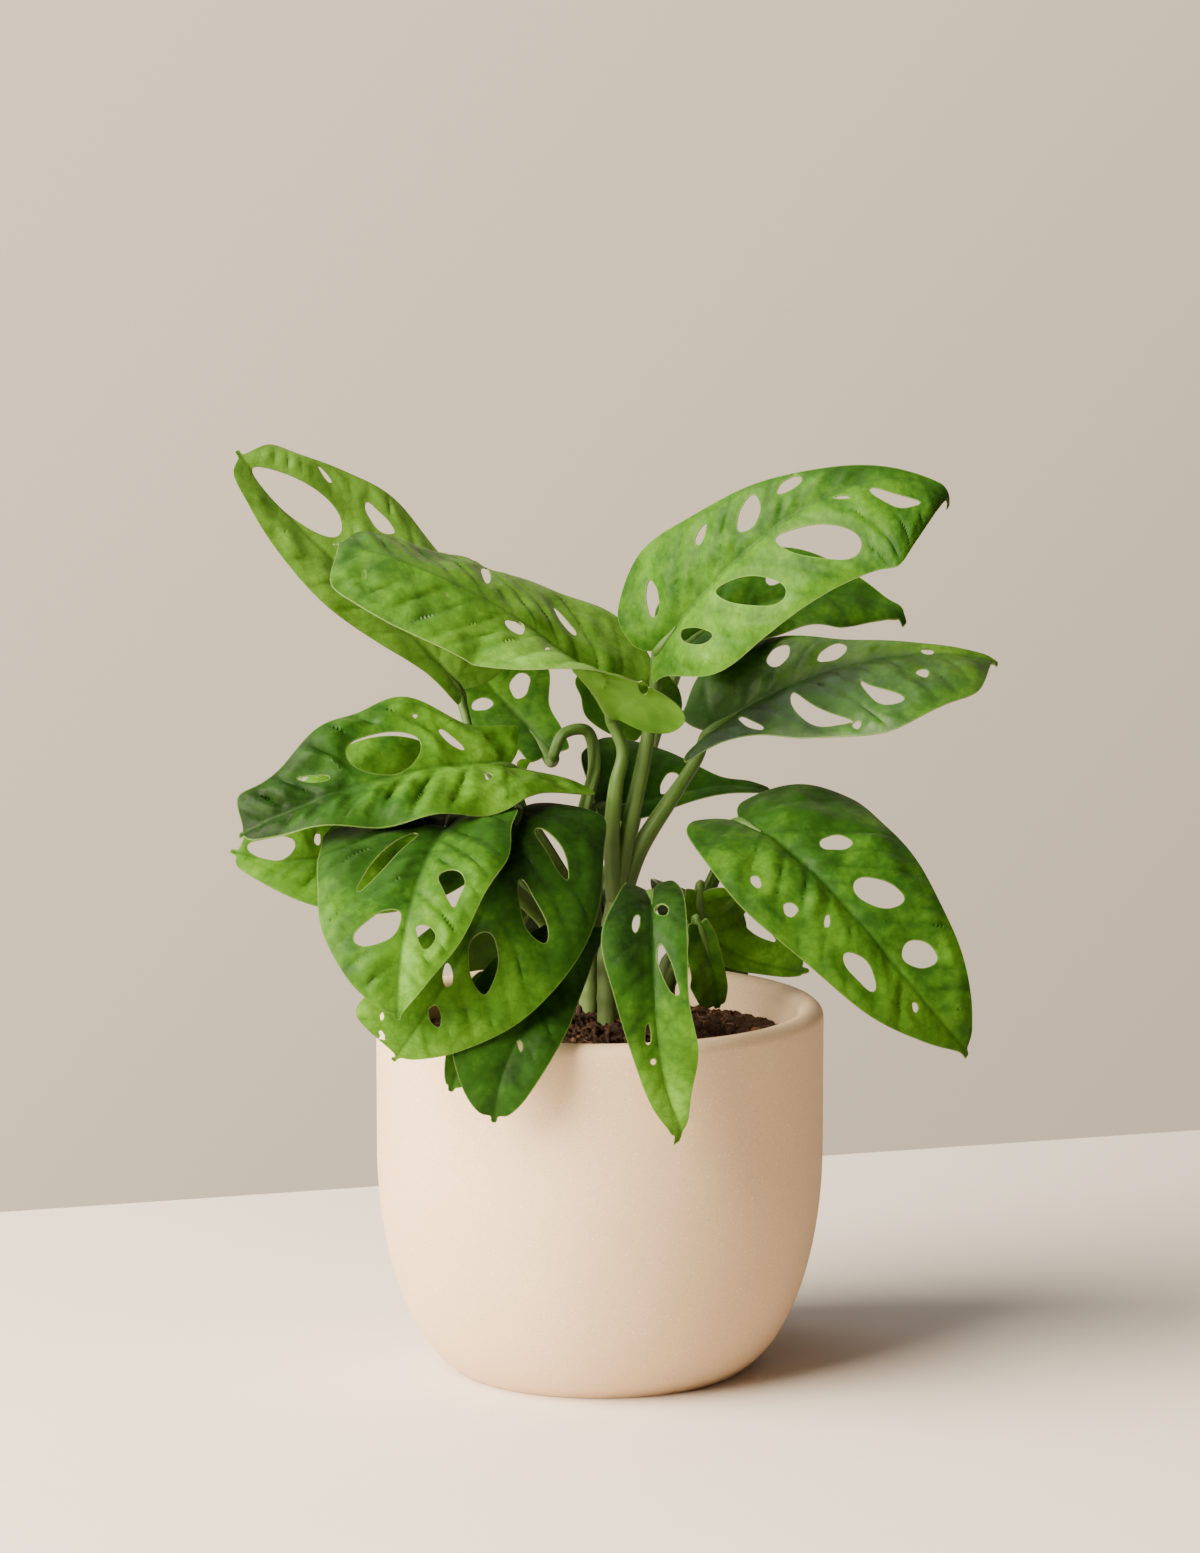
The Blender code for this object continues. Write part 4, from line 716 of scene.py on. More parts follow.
def leaf_relief(blade, look, seed, x, y, edge, starts):
    """How far each point of the face stands off the plain blade, in mm, with the closeness of the midrib
    and side veins (0 to 1) and the place between two veins (0 at a vein, 1 midway)."""
    k = np.clip(y / blade.length, 0, 1)
    s = vein_start_at(x, y)
    reach = np.abs(x)
    steep = 0.8 * np.tanh((s + 2) / 14) + 0.008 * reach     # the slope of a side vein, as in vein_start_at
    vein = np.zeros_like(x)
    between = np.zeros_like(x)
    for sign, at in zip((-1, 1), starts):
        half = x * sign >= 0
        i = np.clip(np.searchsorted(at, s) - 1, 0, len(at) - 2)
        a, b = at[i], at[i + 1]
        f = np.clip((s - a) / (b - a), -0.5, 1.5)
        gap = np.minimum(np.abs(s - a), np.abs(s - b)) / np.sqrt(1 + steep ** 2)
        width = 0.50 - 0.28 * np.clip(reach / 30, 0, 1)
        vein = np.where(half, np.exp(-(gap / width) ** 2), vein)
        between = np.where(half, np.clip(4 * f * (1 - f), 0, 1) ** 0.7, between)
    vein *= smoothstep(-2, 3, s) * smoothstep(0.0, 2.5, edge) * (1 - 0.55 * k)
    middle = np.exp(-(x / (1.15 - 0.55 * k)) ** 2) * smoothstep(-1.0, 1.0, y)
    hollow = np.exp(-(x / 3.4) ** 2)
    swell = smoothstep(0.0, 6.0, edge)
    flat = np.stack([x, y], -1)
    # the vein that runs round near the margin, and the fine pleats near the midrib and beyond it
    ring_at = 4.6 + 0.9 * soft_noise(flat, 30, seed + 8)
    ring = np.exp(-((edge - ring_at) / 0.38) ** 2) * smoothstep(2, 7, reach)
    pleats = soft_noise(np.stack([s, 0.28 * reach], -1), 6.0, seed + 9) * np.exp(-(reach / 17) ** 2)
    cockle = soft_noise(flat, 8.5, seed + 10) * smoothstep(3, 9, reach)
    # cushions between sunk side veins, the channel over the midrib, then large and small swells
    height = look["puff"] * between * smoothstep(1.0, 8.0, reach) * swell
    height = height * (0.75 + 0.5 * soft_noise(flat, 24, seed + 1)) - 0.22 * vein
    height = height - (0.45 * middle + 0.55 * hollow) * (1 - 0.75 * k)
    height = height + look["lumps"] * soft_noise(flat, 34, seed + 2) * smoothstep(0, 12, reach) * 0.7
    height = height + look["lumps"] * 0.28 * soft_noise(flat, 13, seed + 3) * swell
    for side, tall, count, phase in look["waves"]:
        wide = blade.half_width("left" if side < 0 else "right", y)
        part = np.clip(x * side / wide, 0, 1.2)
        height = height + tall * part ** 2.5 * np.sin(2 * math.pi * (count * k + phase))
    folds = pleats * smoothstep(0.8, 3.0, reach) + 0.6 * cockle
    height = height + look["crinkle"] * folds * smoothstep(0.5, 5, edge)
    # the margin and hole rims roll down a little
    height = height - 0.30 * np.exp(-edge / 1.6) - 0.12 * ring
    return height, np.maximum(np.maximum(middle, vein * 0.75), ring * 0.45), between


def make_leaf(name, spec, look, seed, settings, materials):
    """A leaf on its blade: an even net in the leaf's plan, finer beside the midrib, cut to the margin and
    the holes, lifted by the relief and closed with an underside and a thin rim."""
    blade = Blade(spec)
    loops = [blade.margin()] + blade.hole_lines(look["small"])
    lo, hi = loops[0].min(0) - 2, loops[0].max(0) + 2
    step = settings.net * 1.0
    u = np.arange(0, 400)
    # columns that start close together at the midrib and soon stand a whole step apart
    cols = step * (u - 3.2 * (1 - np.exp(-u / 4.0)) * 0.75)
    cols = np.r_[-cols[:0:-1], cols]
    cols = cols[(cols > lo[0]) & (cols < hi[0])]
    rows = np.arange(lo[1], hi[1], step)
    gx, gy = np.meshgrid(cols, rows)
    nx, ny = len(cols), len(rows)
    points = np.stack([gx.ravel(), gy.ravel()], -1)
    inside, near = to_loops(points, loops)
    # points that lie close to a line are pulled onto it, so that the cut leaves no slivers
    pull = np.minimum(np.tile(np.gradient(cols), ny), step) * 0.33
    close = np.abs(inside) < pull
    points[close], inside[close] = near[close], 0.0
    i, j = np.meshgrid(np.arange(nx - 1), np.arange(ny - 1))
    a = (j * nx + i).ravel()
    b, c, d = a + 1, a + nx + 1, a + nx
    even = ((i + j) % 2 == 0).ravel()
    faces = np.vstack([np.stack([a, b, c], 1)[even], np.stack([a, c, d], 1)[even],
                       np.stack([a, b, d], 1)[~even], np.stack([b, c, d], 1)[~even]])
    points, faces, inside = largest_part(*cut_net(points, faces, inside))
    x, y = points.T
    edge = np.abs(to_loops(points, loops)[0])
    edge[inside == 0] = 0
    starts = vein_starts(spec, look["small"], vein_start_at, settings.vein_gap / MM, blade.length)
    height, vein, between = leaf_relief(blade, look, seed, x, y, edge, starts)
    hook = np.clip((y - (blade.length - TIP_LENGTH)) / TIP_LENGTH, 0, 1) ** 2
    face = blade.surface(x + look["tip"][0] * hook * (np.abs(x) < 8), y - 0.4 * hook)
    normal = blade.normals(x, y)
    face = face + normal * (height + look["lift"] + look["tip"][1] * hook)[:, None]
    k = np.clip(y / blade.length, 0, 1)
    # the thickness grows from the margin inward, on the veins and on the keel under the midrib
    blade_mm, edge_mm, keel_mm = settings.blade / MM, settings.edge / MM, settings.keel / MM
    thick = edge_mm + (blade_mm - edge_mm) * smoothstep(0, 2.0, edge) + 0.18 * vein * (edge > 1)
    thick = thick + keel_mm * np.clip(1 - k, 0.12, 1) * np.exp(-(x / 1.7) ** 2) * smoothstep(-2, 1, y)
    under = face - normal * thick[:, None]
    n = len(face)
    rim = rim_edges(faces)
    side = np.vstack([np.stack([rim[:, 1], rim[:, 0], rim[:, 0] + n], 1),
                      np.stack([rim[:, 1], rim[:, 0] + n, rim[:, 1] + n], 1)])
    body = np.vstack([faces, faces[:, ::-1] + n, side])
    slots = np.r_[np.zeros(len(faces)), np.ones(len(faces)), np.full(len(side), 2)]
    flat = np.stack([x, y], -1)
    # the tone of each half, its own colour together with painted light and shade, painted brighter or darker
    # toward the tip as painted light, and brighter midway between veins and in soft patches
    tone_and_painted_light = look["tone_and_painted_light"][0] + (look["tone_and_painted_light"][1] - look["tone_and_painted_light"][0]) * smoothstep(-4, 4, x)
    tone_and_painted_light = tone_and_painted_light + look["painted_light_drift"] * (smoothstep(0.05, 0.95, k) - 0.5)
    tone_and_painted_light = tone_and_painted_light + 0.10 * (between - 0.45) + 0.07 * soft_noise(flat, 26, seed + 5)
    tone_and_painted_light = tone_and_painted_light + 0.04 * soft_noise(flat, 9, seed + 6)
    ob = write_mesh(name + "_blade", np.vstack([face, under]), [body], materials, slots,
                    {"vein": np.r_[vein, vein], "edge": np.r_[edge, edge], "tone_and_painted_light": np.r_[tone_and_painted_light, tone_and_painted_light],
                     "sheen": np.full(2 * n, look["sheen"])},
                    np.vstack([flat, flat]) / 100.0)
    dress(ob, name)


# ---------------------------------------------------------------- stems and stalks
def tube_faces(rings, sides):
    """The faces of a tube whose points stand ring after ring, with its two end points last: the four-sided
    faces between the rings, and the two fans of triangles that close the ends."""
    i, j = np.meshgrid(np.arange(rings - 1), np.arange(sides), indexing="ij")
    a, b = (i * sides + j).ravel(), (i * sides + (j + 1) % sides).ravel()
    quads = np.stack([a, b, b + sides, a + sides], 1)
    here = np.arange(sides)
    following = (here + 1) % sides
    last, end = (rings - 1) * sides, rings * sides
    fans = np.vstack([np.stack([following, here, np.full(sides, end)], 1),
                      np.stack([last + here, last + following, np.full(sides, end + 1)], 1)])
    return quads, fans


def carry(line, profile, facing):
    """A closed tube: at each point of the line stands a ring whose radius at angle a is profile(s, a), s
    being the part of the way along and a = 0 the side turned to facing. Its ends are closed by a point."""
    way = unit(np.gradient(line, axis=0))
    run = np.r_[0, np.cumsum(np.linalg.norm(np.diff(line, axis=0), axis=1))]
    s = run / run[-1]
    side = unit(facing - (facing * way).sum(-1, keepdims=True) * way)
    other = np.cross(way, side)
    angle = np.linspace(-math.pi, math.pi, profile.sides, endpoint=False)
    radius = profile(s[:, None], angle[None, :])
    ring = side[:, None] * np.cos(angle)[None, :, None] + other[:, None] * np.sin(angle)[None, :, None]
    points = line[:, None] + radius[..., None] * ring
    n, m = len(line), profile.sides
    quads, ends = tube_faces(n, m)
    points = np.vstack([points.reshape(-1, 3), line[0], line[-1]])
    share = np.r_[np.repeat(s, m), 0.0, 1.0]
    around = np.r_[np.tile(angle / math.pi, n), 0.0, 0.0]
    length = np.r_[np.repeat(run, m), 0.0, run[-1]]
    return points, quads, ends, share, around, length


class StalkProfile:
    """The section of a leaf stalk: round, with a groove along its inner side, two thin wings of a sheath
    beside the groove on the lower part, and a slight swelling, the knee, below the blade."""

    def __init__(self, low, high, sides, groove, sheath, knee):
        self.low, self.high, self.sides = low, high, sides
        self.groove, self.sheath, self.knee = groove, sheath, knee

    def __call__(self, s, a):
        """The radius from low to high by (s / 0.8)^0.8, then times one bell for the knee, one bell in a for
        the groove and two for the wings, and times a faint ripple."""
        r = self.low + (self.high - self.low) * np.clip(s / 0.8, 0, 1) ** 0.8
        r = r * (1 + 0.16 * np.exp(-((s - self.knee) / 0.045) ** 2))
        r = r * (1 - smoothstep(self.knee + 0.05, 1.0, s) * 0.72)
        cut = 1 - self.groove * (1 - 0.6 * s) * np.exp(-(a / 0.42) ** 2)
        fade = smoothstep(self.sheath, self.sheath - 0.14, s)
        wing = 1 + 0.30 * fade * (np.exp(-((a - 0.62) / 0.17) ** 2) + np.exp(-((a + 0.62) / 0.17) ** 2))
        return r * cut * wing * (1 + 0.012 * np.sin(7 * a + 9 * s))


class StemProfile:
    """The section of a fat climbing stem: round with shallow ribs and a raised ring at each leaf scar."""

    def __init__(self, low, high, sides, scars):
        self.low, self.high, self.sides, self.scars = low, high, sides, scars

    def __call__(self, s, a):
        """The radius from low to high evenly, times a raised bell and a sunk one at each scar, five and nine
        shallow ribs, and a rounded upper end."""
        r = self.low + (self.high - self.low) * s
        for scar in self.scars:
            ring = 0.07 * np.exp(-((s - scar) / 0.02) ** 2)
            r = r * (1 + ring - 0.03 * np.exp(-((s - scar - 0.05) / 0.03) ** 2))
        close = smoothstep(0.0, 0.10, 1 - s) ** 0.5
        return r * (0.25 + 0.75 * close) * (1 + 0.02 * np.sin(5 * a + 4 * s) + 0.012 * np.sin(9 * a))


def stalk_line(way, blade):
    """A stalk's line: its way points, up to the back of the leaf's base, then on under the midrib. On a leaf
    with a seat it comes over the base from the face side and then goes under."""
    # places along the midrib, and below how far the stalk's middle stands behind the blade at each
    y = np.array([-2.2, 0.8, 5.0, 12.0])
    point, tangent, normal, _ = blade.frame(y)
    if blade.spec.get("seat"):
        back = np.array([2.5, -1.4, -1.6, -1.2])[:, None]
        tail = point + normal * back - tangent * np.array([4.0, 4.2, 1.0, 0])[:, None]
        first = [tail[0] + normal[0] * 3.0]
    else:
        tail = point - normal * np.array([3.1, 1.75, 1.45, 1.0])[:, None]
        first = []
    return smooth_line(np.vstack([np.asarray(way, float)] + first + [tail]), 9)


def make_vine(name, spec, blades, settings, skin):
    """A climbing stem and its leaf stalks, one piece."""
    fx, fy = spec["foot"]
    trunk = smooth_line([(fx, fy, z) for z in STEM_UPRIGHT] + spec["trunk"], 14)
    stem = StemProfile(spec["radius"], spec["top_radius"], settings.sides + 6, STEM_SCARS)
    parts = [carry(trunk, stem, np.array([[0.2, -1.0, 0.1]]))]
    for way, low, high, leaf in spec["stalks"]:
        # a stalk's groove faces the plant's middle and up, and the fatter ones have the longer sheath
        inner = np.array([[0.0, 0.0, 260.0]]) - np.array(way[len(way) // 2], float)
        inner = inner * [1, 1, 0.35]
        sheath = 0.62 if low > 2.7 else 0.45
        profile = StalkProfile(low, high * 0.95, settings.sides, settings.groove, sheath, STALK_KNEE)
        parts.append(carry(stalk_line(way, blades[leaf]), profile, inner))
    points, faces, youth, plan, start = [], [], [], [], 0
    for i, (p, quads, ends, share, around, run) in enumerate(parts):
        points.append(p)
        faces += [quads + start, ends + start]
        youth.append(0.25 + 0.75 * share if i else np.zeros(len(p)))
        plan.append(np.stack([around * 0.2, run / 100.0], -1))
        start += len(p)
    ob = write_mesh(name + "_stalks", np.vstack(points), faces, [skin],
                    values={"youth": np.concatenate(youth)}, plan=np.vstack(plan), crease=60)
    dress(ob, name)


# ---------------------------------------------------------------- pot and soil
def bezier(p0, p1, p2, p3, steps):
    """A cubic from p0 to p3 that leaves towards p1 and arrives from p2."""
    t = np.linspace(0, 1, steps)[:, None]
    p = [np.array(q, float) for q in (p0, p1, p2, p3)]
    return (1 - t) ** 3 * p[0] + 3 * t * (1 - t) ** 2 * p[1] + 3 * t * t * (1 - t) * p[2] + t ** 3 * p[3]


def pot_wall(radius):
    """Half section of the pot: foot, round belly, straight wall, half-round lip, inner wall and floor. The
    heel, belly and inner wall are cubics, the lip a half circle and the rest straight."""
    thick = 2 * POT_LIP_TUBE
    foot = np.stack([np.linspace(4, POT_FOOT_RADIUS - 1.2, 12), np.zeros(12)], -1)
    heel = bezier((POT_FOOT_RADIUS - 1.2, 0), (POT_FOOT_RADIUS - 0.4, 0), (POT_FOOT_RADIUS + 0.1, 0.3),
                  (POT_FOOT_RADIUS + 0.7, 1.1), 5)[1:]
    outer = bezier((POT_FOOT_RADIUS + 0.7, 1.1), (65, 10), (radius, 40), (radius, POT_STRAIGHT_Z), 40)[1:]
    straight = np.stack([np.full(14, radius), np.linspace(POT_STRAIGHT_Z, POT_LIP_Z, 15)[1:]], -1)
    th = np.linspace(0, math.pi, 20)
    lip = np.stack([radius - POT_LIP_TUBE * (1 - np.cos(th)), POT_LIP_Z + POT_LIP_TUBE * np.sin(th)], -1)[1:]
    down = np.stack([np.full(12, radius - thick), np.linspace(POT_LIP_Z, POT_STRAIGHT_Z, 13)[1:]], -1)
    inner = bezier((radius - thick, POT_STRAIGHT_Z), (radius - thick, 42), (57, 16), (42, POT_FLOOR), 16)[1:]
    floor = np.stack([np.linspace(42, 4, 5)[1:], np.full(4, POT_FLOOR)], -1)
    return np.vstack([foot, heel, outer, straight, lip, down, inner, floor])


def turn(section, segments, low, high, stray=None):
    """A section turned about the upright axis: the point (r, z) goes to (r cos a, r sin a, z), with stray(r,
    z, a) added to r, and the two ends are closed at heights low and high on the axis."""
    a = np.linspace(0, 2 * math.pi, segments, endpoint=False)
    r, z = section[:, 0][:, None], section[:, 1][:, None]
    if stray is not None:
        r = r + stray(r, z, a[None, :])
    points = np.stack([r * np.cos(a), r * np.sin(a), z + 0 * a], -1).reshape(-1, 3)
    return np.vstack([points, [0, 0, low], [0, 0, high]]), *tube_faces(len(section), segments)


def make_pot(settings, clay):
    """The pot, with the slight waves that throwing and sanding leave in its wall."""
    radius = settings.radius / MM
    far = settings.wobble / MM

    def stray(r, z, a):
        """Two and three waves round the pot that turn with height, and two sets of throwing rings."""
        height = z / 120.0
        wave = np.sin(2 * a + 0.7 + 1.5 * height) * 0.4 + np.sin(3 * a + 2.1 - 2 * height) * 0.25
        rings = 0.22 * np.sin(2 * math.pi * z / 5.3 + np.sin(a)) + 0.18 * np.sin(2 * math.pi * z / 3.1 + 1.1)
        return -far * (0.65 + wave + rings * 0.35) * smoothstep(0, 6, z) * (r > 30)

    points, quads, ends = turn(pot_wall(radius), POT_SEGMENTS, 0.0, POT_FLOOR, stray)
    ob = write_mesh("pot_body", points, [quads, ends], [clay], crease=50)
    dress(ob, "pot")


def soil_height(r, a):
    """Height of the soil: level at the wall, a mound in the middle and low lumps, as in the solid."""
    mound = SOIL_MOUND * np.exp(-(r / 34.0) ** 2)
    lumps = np.sin(5 * a + r / 7.0) + np.sin(3 * a - r / 5.0 + 1.3) + np.sin(8 * a + r / 4.0 + 0.6)
    return SOIL_EDGE_Z + mound + SOIL_BUMP * lumps * np.clip((SOIL_RADIUS - r) / 20.0, 0, 1) / 2.2


def soil_top(x, y):
    """The soil's height with its crumbly surface: four sizes of soft noise, the middle two folded to
    ridges."""
    flat = np.stack([x, y], -1)
    base = soil_height(np.hypot(x, y), np.arctan2(y, x))
    rough = 0.75 * soft_noise(flat, 11.0, 21) + 0.55 * np.abs(soft_noise(flat, 5.0, 22)) * 1.6
    rough = rough + 0.5 * np.abs(soft_noise(flat, 2.6, 23)) + 0.35 * soft_noise(flat, 1.5, 24) - 0.9
    return base + rough


def make_soil(settings, mats):
    """The soil's body, which follows the pot's inner wall, and the loose crumbs and plant fibres on it."""
    radius = SOIL_RADIUS + 0.25
    inner = pot_wall(settings.radius / MM)[-20:][::-1]
    inner = inner[inner[:, 1] < POT_STRAIGHT_Z + 0.1] - [GAP, -GAP]
    wall = np.stack([np.full(6, radius), np.linspace(POT_STRAIGHT_Z + 4, SOIL_WALL_TOP, 6)], -1)
    rings = 120
    top = np.stack([np.linspace(radius, 0.4, rings), np.full(rings, SOIL_EDGE_Z)], -1)
    section = np.vstack([inner, wall, top])
    points, quads, ends = turn(section, SOIL_SEGMENTS, POT_FLOOR + GAP, SOIL_EDGE_Z)
    # the top is turned flat, and then its points and the middle one are lifted to the soil's height
    on_top = np.zeros(len(points), bool)
    on_top[(len(inner) + len(wall)) * SOIL_SEGMENTS:-2] = True
    on_top[-1] = True
    points[on_top, 2] = soil_top(points[on_top, 0], points[on_top, 1])
    ob = write_mesh("soil_body", points, [quads, ends], [mats["soil"]], crease=0)
    dress(ob, "soil")
    make_crumbs(settings.crumbs, mats["crumb"])
    make_fibres(mats["fibre"])


def scatter(count, rng, out):
    """Even places on the soil inside radius out: r = out sqrt(t), any angle."""
    r = out * np.sqrt(rng.uniform(0, 1, count))
    a = rng.uniform(0, 2 * math.pi, count)
    return r * np.cos(a), r * np.sin(a)


def write_grains(name, points, rings, sides, shade, mat, flip=False):
    """Many like tubes in one mesh, from points as (grain, point, xyz) and one shade for each grain. Where the
    rings run downward, flip turns the faces round so that they still point outward."""
    count, each = points.shape[:2]
    step = np.arange(count)[:, None, None] * each
    faces = [(f[:, ::-1] if flip else f) + step for f in tube_faces(rings, sides)]
    ob = write_mesh(name, points.reshape(-1, 3), [f.reshape(-1, f.shape[-1]) for f in faces], [mat],
                    values={"shade": np.repeat(shade, each)}, crease=0)
    dress(ob, None)


def make_crumbs(count, mat):
    """Loose crumbs: each a ball of 4 rings of 7 points and two poles whose radius strays by waves of its own,
    squashed and turned about the upright axis."""
    rng = np.random.default_rng(31)
    cx, cy = scatter(count, rng, SOIL_RADIUS - 2.2)
    size = 0.45 + 1.5 * rng.uniform(0, 1, count) ** 2.6     # radii in mm, most of them small
    sides, rings = 7, 4
    u = np.linspace(0, 2 * math.pi, sides, endpoint=False)
    v = np.linspace(0, math.pi, rings + 2)[1:-1]
    uu, vv = np.meshgrid(u, v)
    ball = np.stack([np.sin(vv) * np.cos(uu), np.sin(vv) * np.sin(uu), np.cos(vv)], -1).reshape(-1, 3)
    ball = np.vstack([ball, [0, 0, 1], [0, 0, -1]])
    phase = rng.uniform(0, 6.3, (count, 3, 1))
    stray = 1 + 0.22 * np.sin(3 * ball[:, 0] + phase[:, 0]) + 0.2 * np.sin(4 * ball[:, 1] + phase[:, 1])
    stray = stray + 0.15 * np.sin(5 * ball[:, 2] + phase[:, 2])
    squash = rng.uniform(0.55, 1.0, (count, 1, 3))
    p = ball[None] * stray[..., None] * squash * size[:, None, None]
    angle = rng.uniform(0, 6.3, count)
    c, s = np.cos(angle)[:, None], np.sin(angle)[:, None]
    p = np.stack([p[..., 0] * c - p[..., 1] * s, p[..., 0] * s + p[..., 1] * c, p[..., 2]], -1)
    p = p + np.stack([cx, cy, soil_top(cx, cy) + size * 0.30], -1)[:, None]
    write_grains("soil_crumbs", p, rings, sides, rng.uniform(0, 1, count), mat, flip=True)


def make_fibres(mat):
    """Short strands of coir and bark: each a thin tapered tube along a gently bent line on the soil."""
    rng = np.random.default_rng(41)
    count, rings, sides = 130, 6, 5
    cx, cy = scatter(count, rng, SOIL_RADIUS - 6)
    heading = rng.uniform(0, 6.3, count)
    length = rng.uniform(2.5, 8.0, count)
    bend = rng.uniform(-0.9, 0.9, count)
    s = np.linspace(-0.5, 0.5, rings)
    ang = heading[:, None] + bend[:, None] * s
    x = cx[:, None] + length[:, None] * s * np.cos(ang)
    y = cy[:, None] + length[:, None] * s * np.sin(ang)
    far = np.maximum(np.hypot(x, y) / (SOIL_RADIUS - 1.2), 1)
    x, y = x / far, y / far
    ground = soil_top(x, y)
    z = ground.max(1, keepdims=True) * 0.5 + ground * 0.5 + 0.25 + 0.5 * rng.uniform(0, 1, (count, 1)) * s
    thick = rng.uniform(0.13, 0.34, (count, 1)) * (1 - 0.6 * (2 * np.abs(s)) ** 3)
    way = unit(np.stack([np.cos(ang), np.sin(ang), 0 * ang], -1))
    flat = np.stack([-way[..., 1], way[..., 0], 0 * ang], -1)
    a = np.linspace(0, 2 * math.pi, sides, endpoint=False)
    ring = flat[:, :, None] * np.cos(a)[:, None] + np.array([0, 0, 1.0]) * np.sin(a)[:, None]
    line = np.stack([x, y, z], -1)
    p = line[:, :, None] + ring * thick[..., None, None]
    p = np.concatenate([p.reshape(count, -1, 3), line[:, :1], line[:, -1:]], 1)
    write_grains("soil_fibres", p, rings, sides, rng.uniform(0, 1, count), mat)


# ---------------------------------------------------------------- finishes
class Nodes:
    """A node tree under construction: short calls that add nodes and join them."""

    def __init__(self, tree):
        self.tree = tree

    def node(self, kind, **values):
        """A new node with its own settings."""
        made = self.tree.nodes.new(kind)
        for key, value in values.items():
            setattr(made, key, value)
        return made

    def link(self, a, b):
        self.tree.links.new(a, b)

    def put(self, socket, value):
        """Gives an input another node's output or a plain value."""
        if isinstance(value, bpy.types.NodeSocket):
            self.link(value, socket)
        elif value is not None:
            socket.default_value = value

    def value(self, name):
        """A named value that the mesh carries for each point."""
        return self.node("ShaderNodeAttribute", attribute_name=name).outputs["Fac"]

    def place(self, kind):
        """The coordinates that a pattern reads."""
        return self.node("ShaderNodeTexCoord").outputs[kind]

    def noise(self, where, scale, detail=3.0, rough=0.5, distort=0.0):
        """Cloudy noise from 0 to 1."""
        made = self.node("ShaderNodeTexNoise")
        self.link(where, made.inputs["Vector"])
        for key, v in (("Scale", scale), ("Detail", detail), ("Roughness", rough), ("Distortion", distort)):
            made.inputs[key].default_value = v
        return made.outputs["Fac"]

    def cells(self, where, scale, feature="F1"):
        """Distance within a net of cells: to the cell's point, or to its edge."""
        made = self.node("ShaderNodeTexVoronoi", feature=feature)
        self.link(where, made.inputs["Vector"])
        made.inputs["Scale"].default_value = scale
        return made.outputs["Distance"]

    def spread(self, value, low, high, to_low=0.0, to_high=1.0):
        """A value carried from one range to another and held at its ends."""
        made = self.node("ShaderNodeMapRange", clamp=True, interpolation_type="SMOOTHSTEP")
        self.put(made.inputs["Value"], value)
        for key, v in (("From Min", low), ("From Max", high), ("To Min", to_low), ("To Max", to_high)):
            made.inputs[key].default_value = v
        return made.outputs["Result"]

    def math(self, how, a, b):
        """Two values added, multiplied or compared."""
        made = self.node("ShaderNodeMath", operation=how)
        self.put(made.inputs[0], a)
        self.put(made.inputs[1], b)
        return made.outputs[0]

    def blend(self, share, a, b, how="MIX"):
        """Colour b over colour a by a share."""
        made = self.node("ShaderNodeMix", data_type="RGBA", blend_type=how)
        self.put(made.inputs[0], share)
        for socket, v in ((made.inputs[6], a), (made.inputs[7], b)):
            self.put(socket, (*v, 1.0) if isinstance(v, tuple) else v)
        return made.outputs[2]

    def ramp(self, value, stops):
        """The colour that a value picks from a run of (place, colour) stops."""
        made = self.node("ShaderNodeValToRGB")
        self.link(value, made.inputs["Fac"])
        while len(made.color_ramp.elements) < len(stops):
            made.color_ramp.elements.new(0.5)
        for element, (at, colour) in zip(made.color_ramp.elements, stops):
            element.position = at
            element.color = (*colour, 1.0)
        return made.outputs["Color"]

    def bump(self, height, strength, distance, before=None):
        """Fine relief of the finish, laid over an earlier one."""
        made = self.node("ShaderNodeBump")
        made.inputs["Strength"].default_value = strength
        made.inputs["Distance"].default_value = distance
        self.link(height, made.inputs["Height"])
        if before is not None:
            self.link(before, made.inputs["Normal"])
        return made.outputs["Normal"]

    def mixed(self, share, a, b):
        """Two shaders, by the share of the second."""
        made = self.node("ShaderNodeMixShader")
        for socket, value in zip(made.inputs, (share, a, b)):
            self.put(socket, value)
        return made.outputs[0]


class Finish(Nodes):
    """A material, from a name to its shader's values."""

    def __init__(self, name):
        self.mat = bpy.data.materials.new(name)
        self.mat.use_nodes = True
        super().__init__(self.mat.node_tree)
        self.shader = self.tree.nodes["Principled BSDF"]
        self.output = self.tree.nodes["Material Output"]

    def finish(self, **sockets):
        """Sets the shader's inputs, named with an underscore for each space."""
        for key, value in sockets.items():
            self.put(self.shader.inputs[key.replace("_", " ")], value)
        return self.mat


def greens(s):
    """The range of leaf colour that the mesh's tone runs through; that tone holds painted light and shade as
    well as the leaf's own colour.
    """
    return [(0.0, tuple(s.dark)), (0.4, tuple(s.middle)), (0.75, tuple(s.bright)), (1.0, tuple(s.pale))]


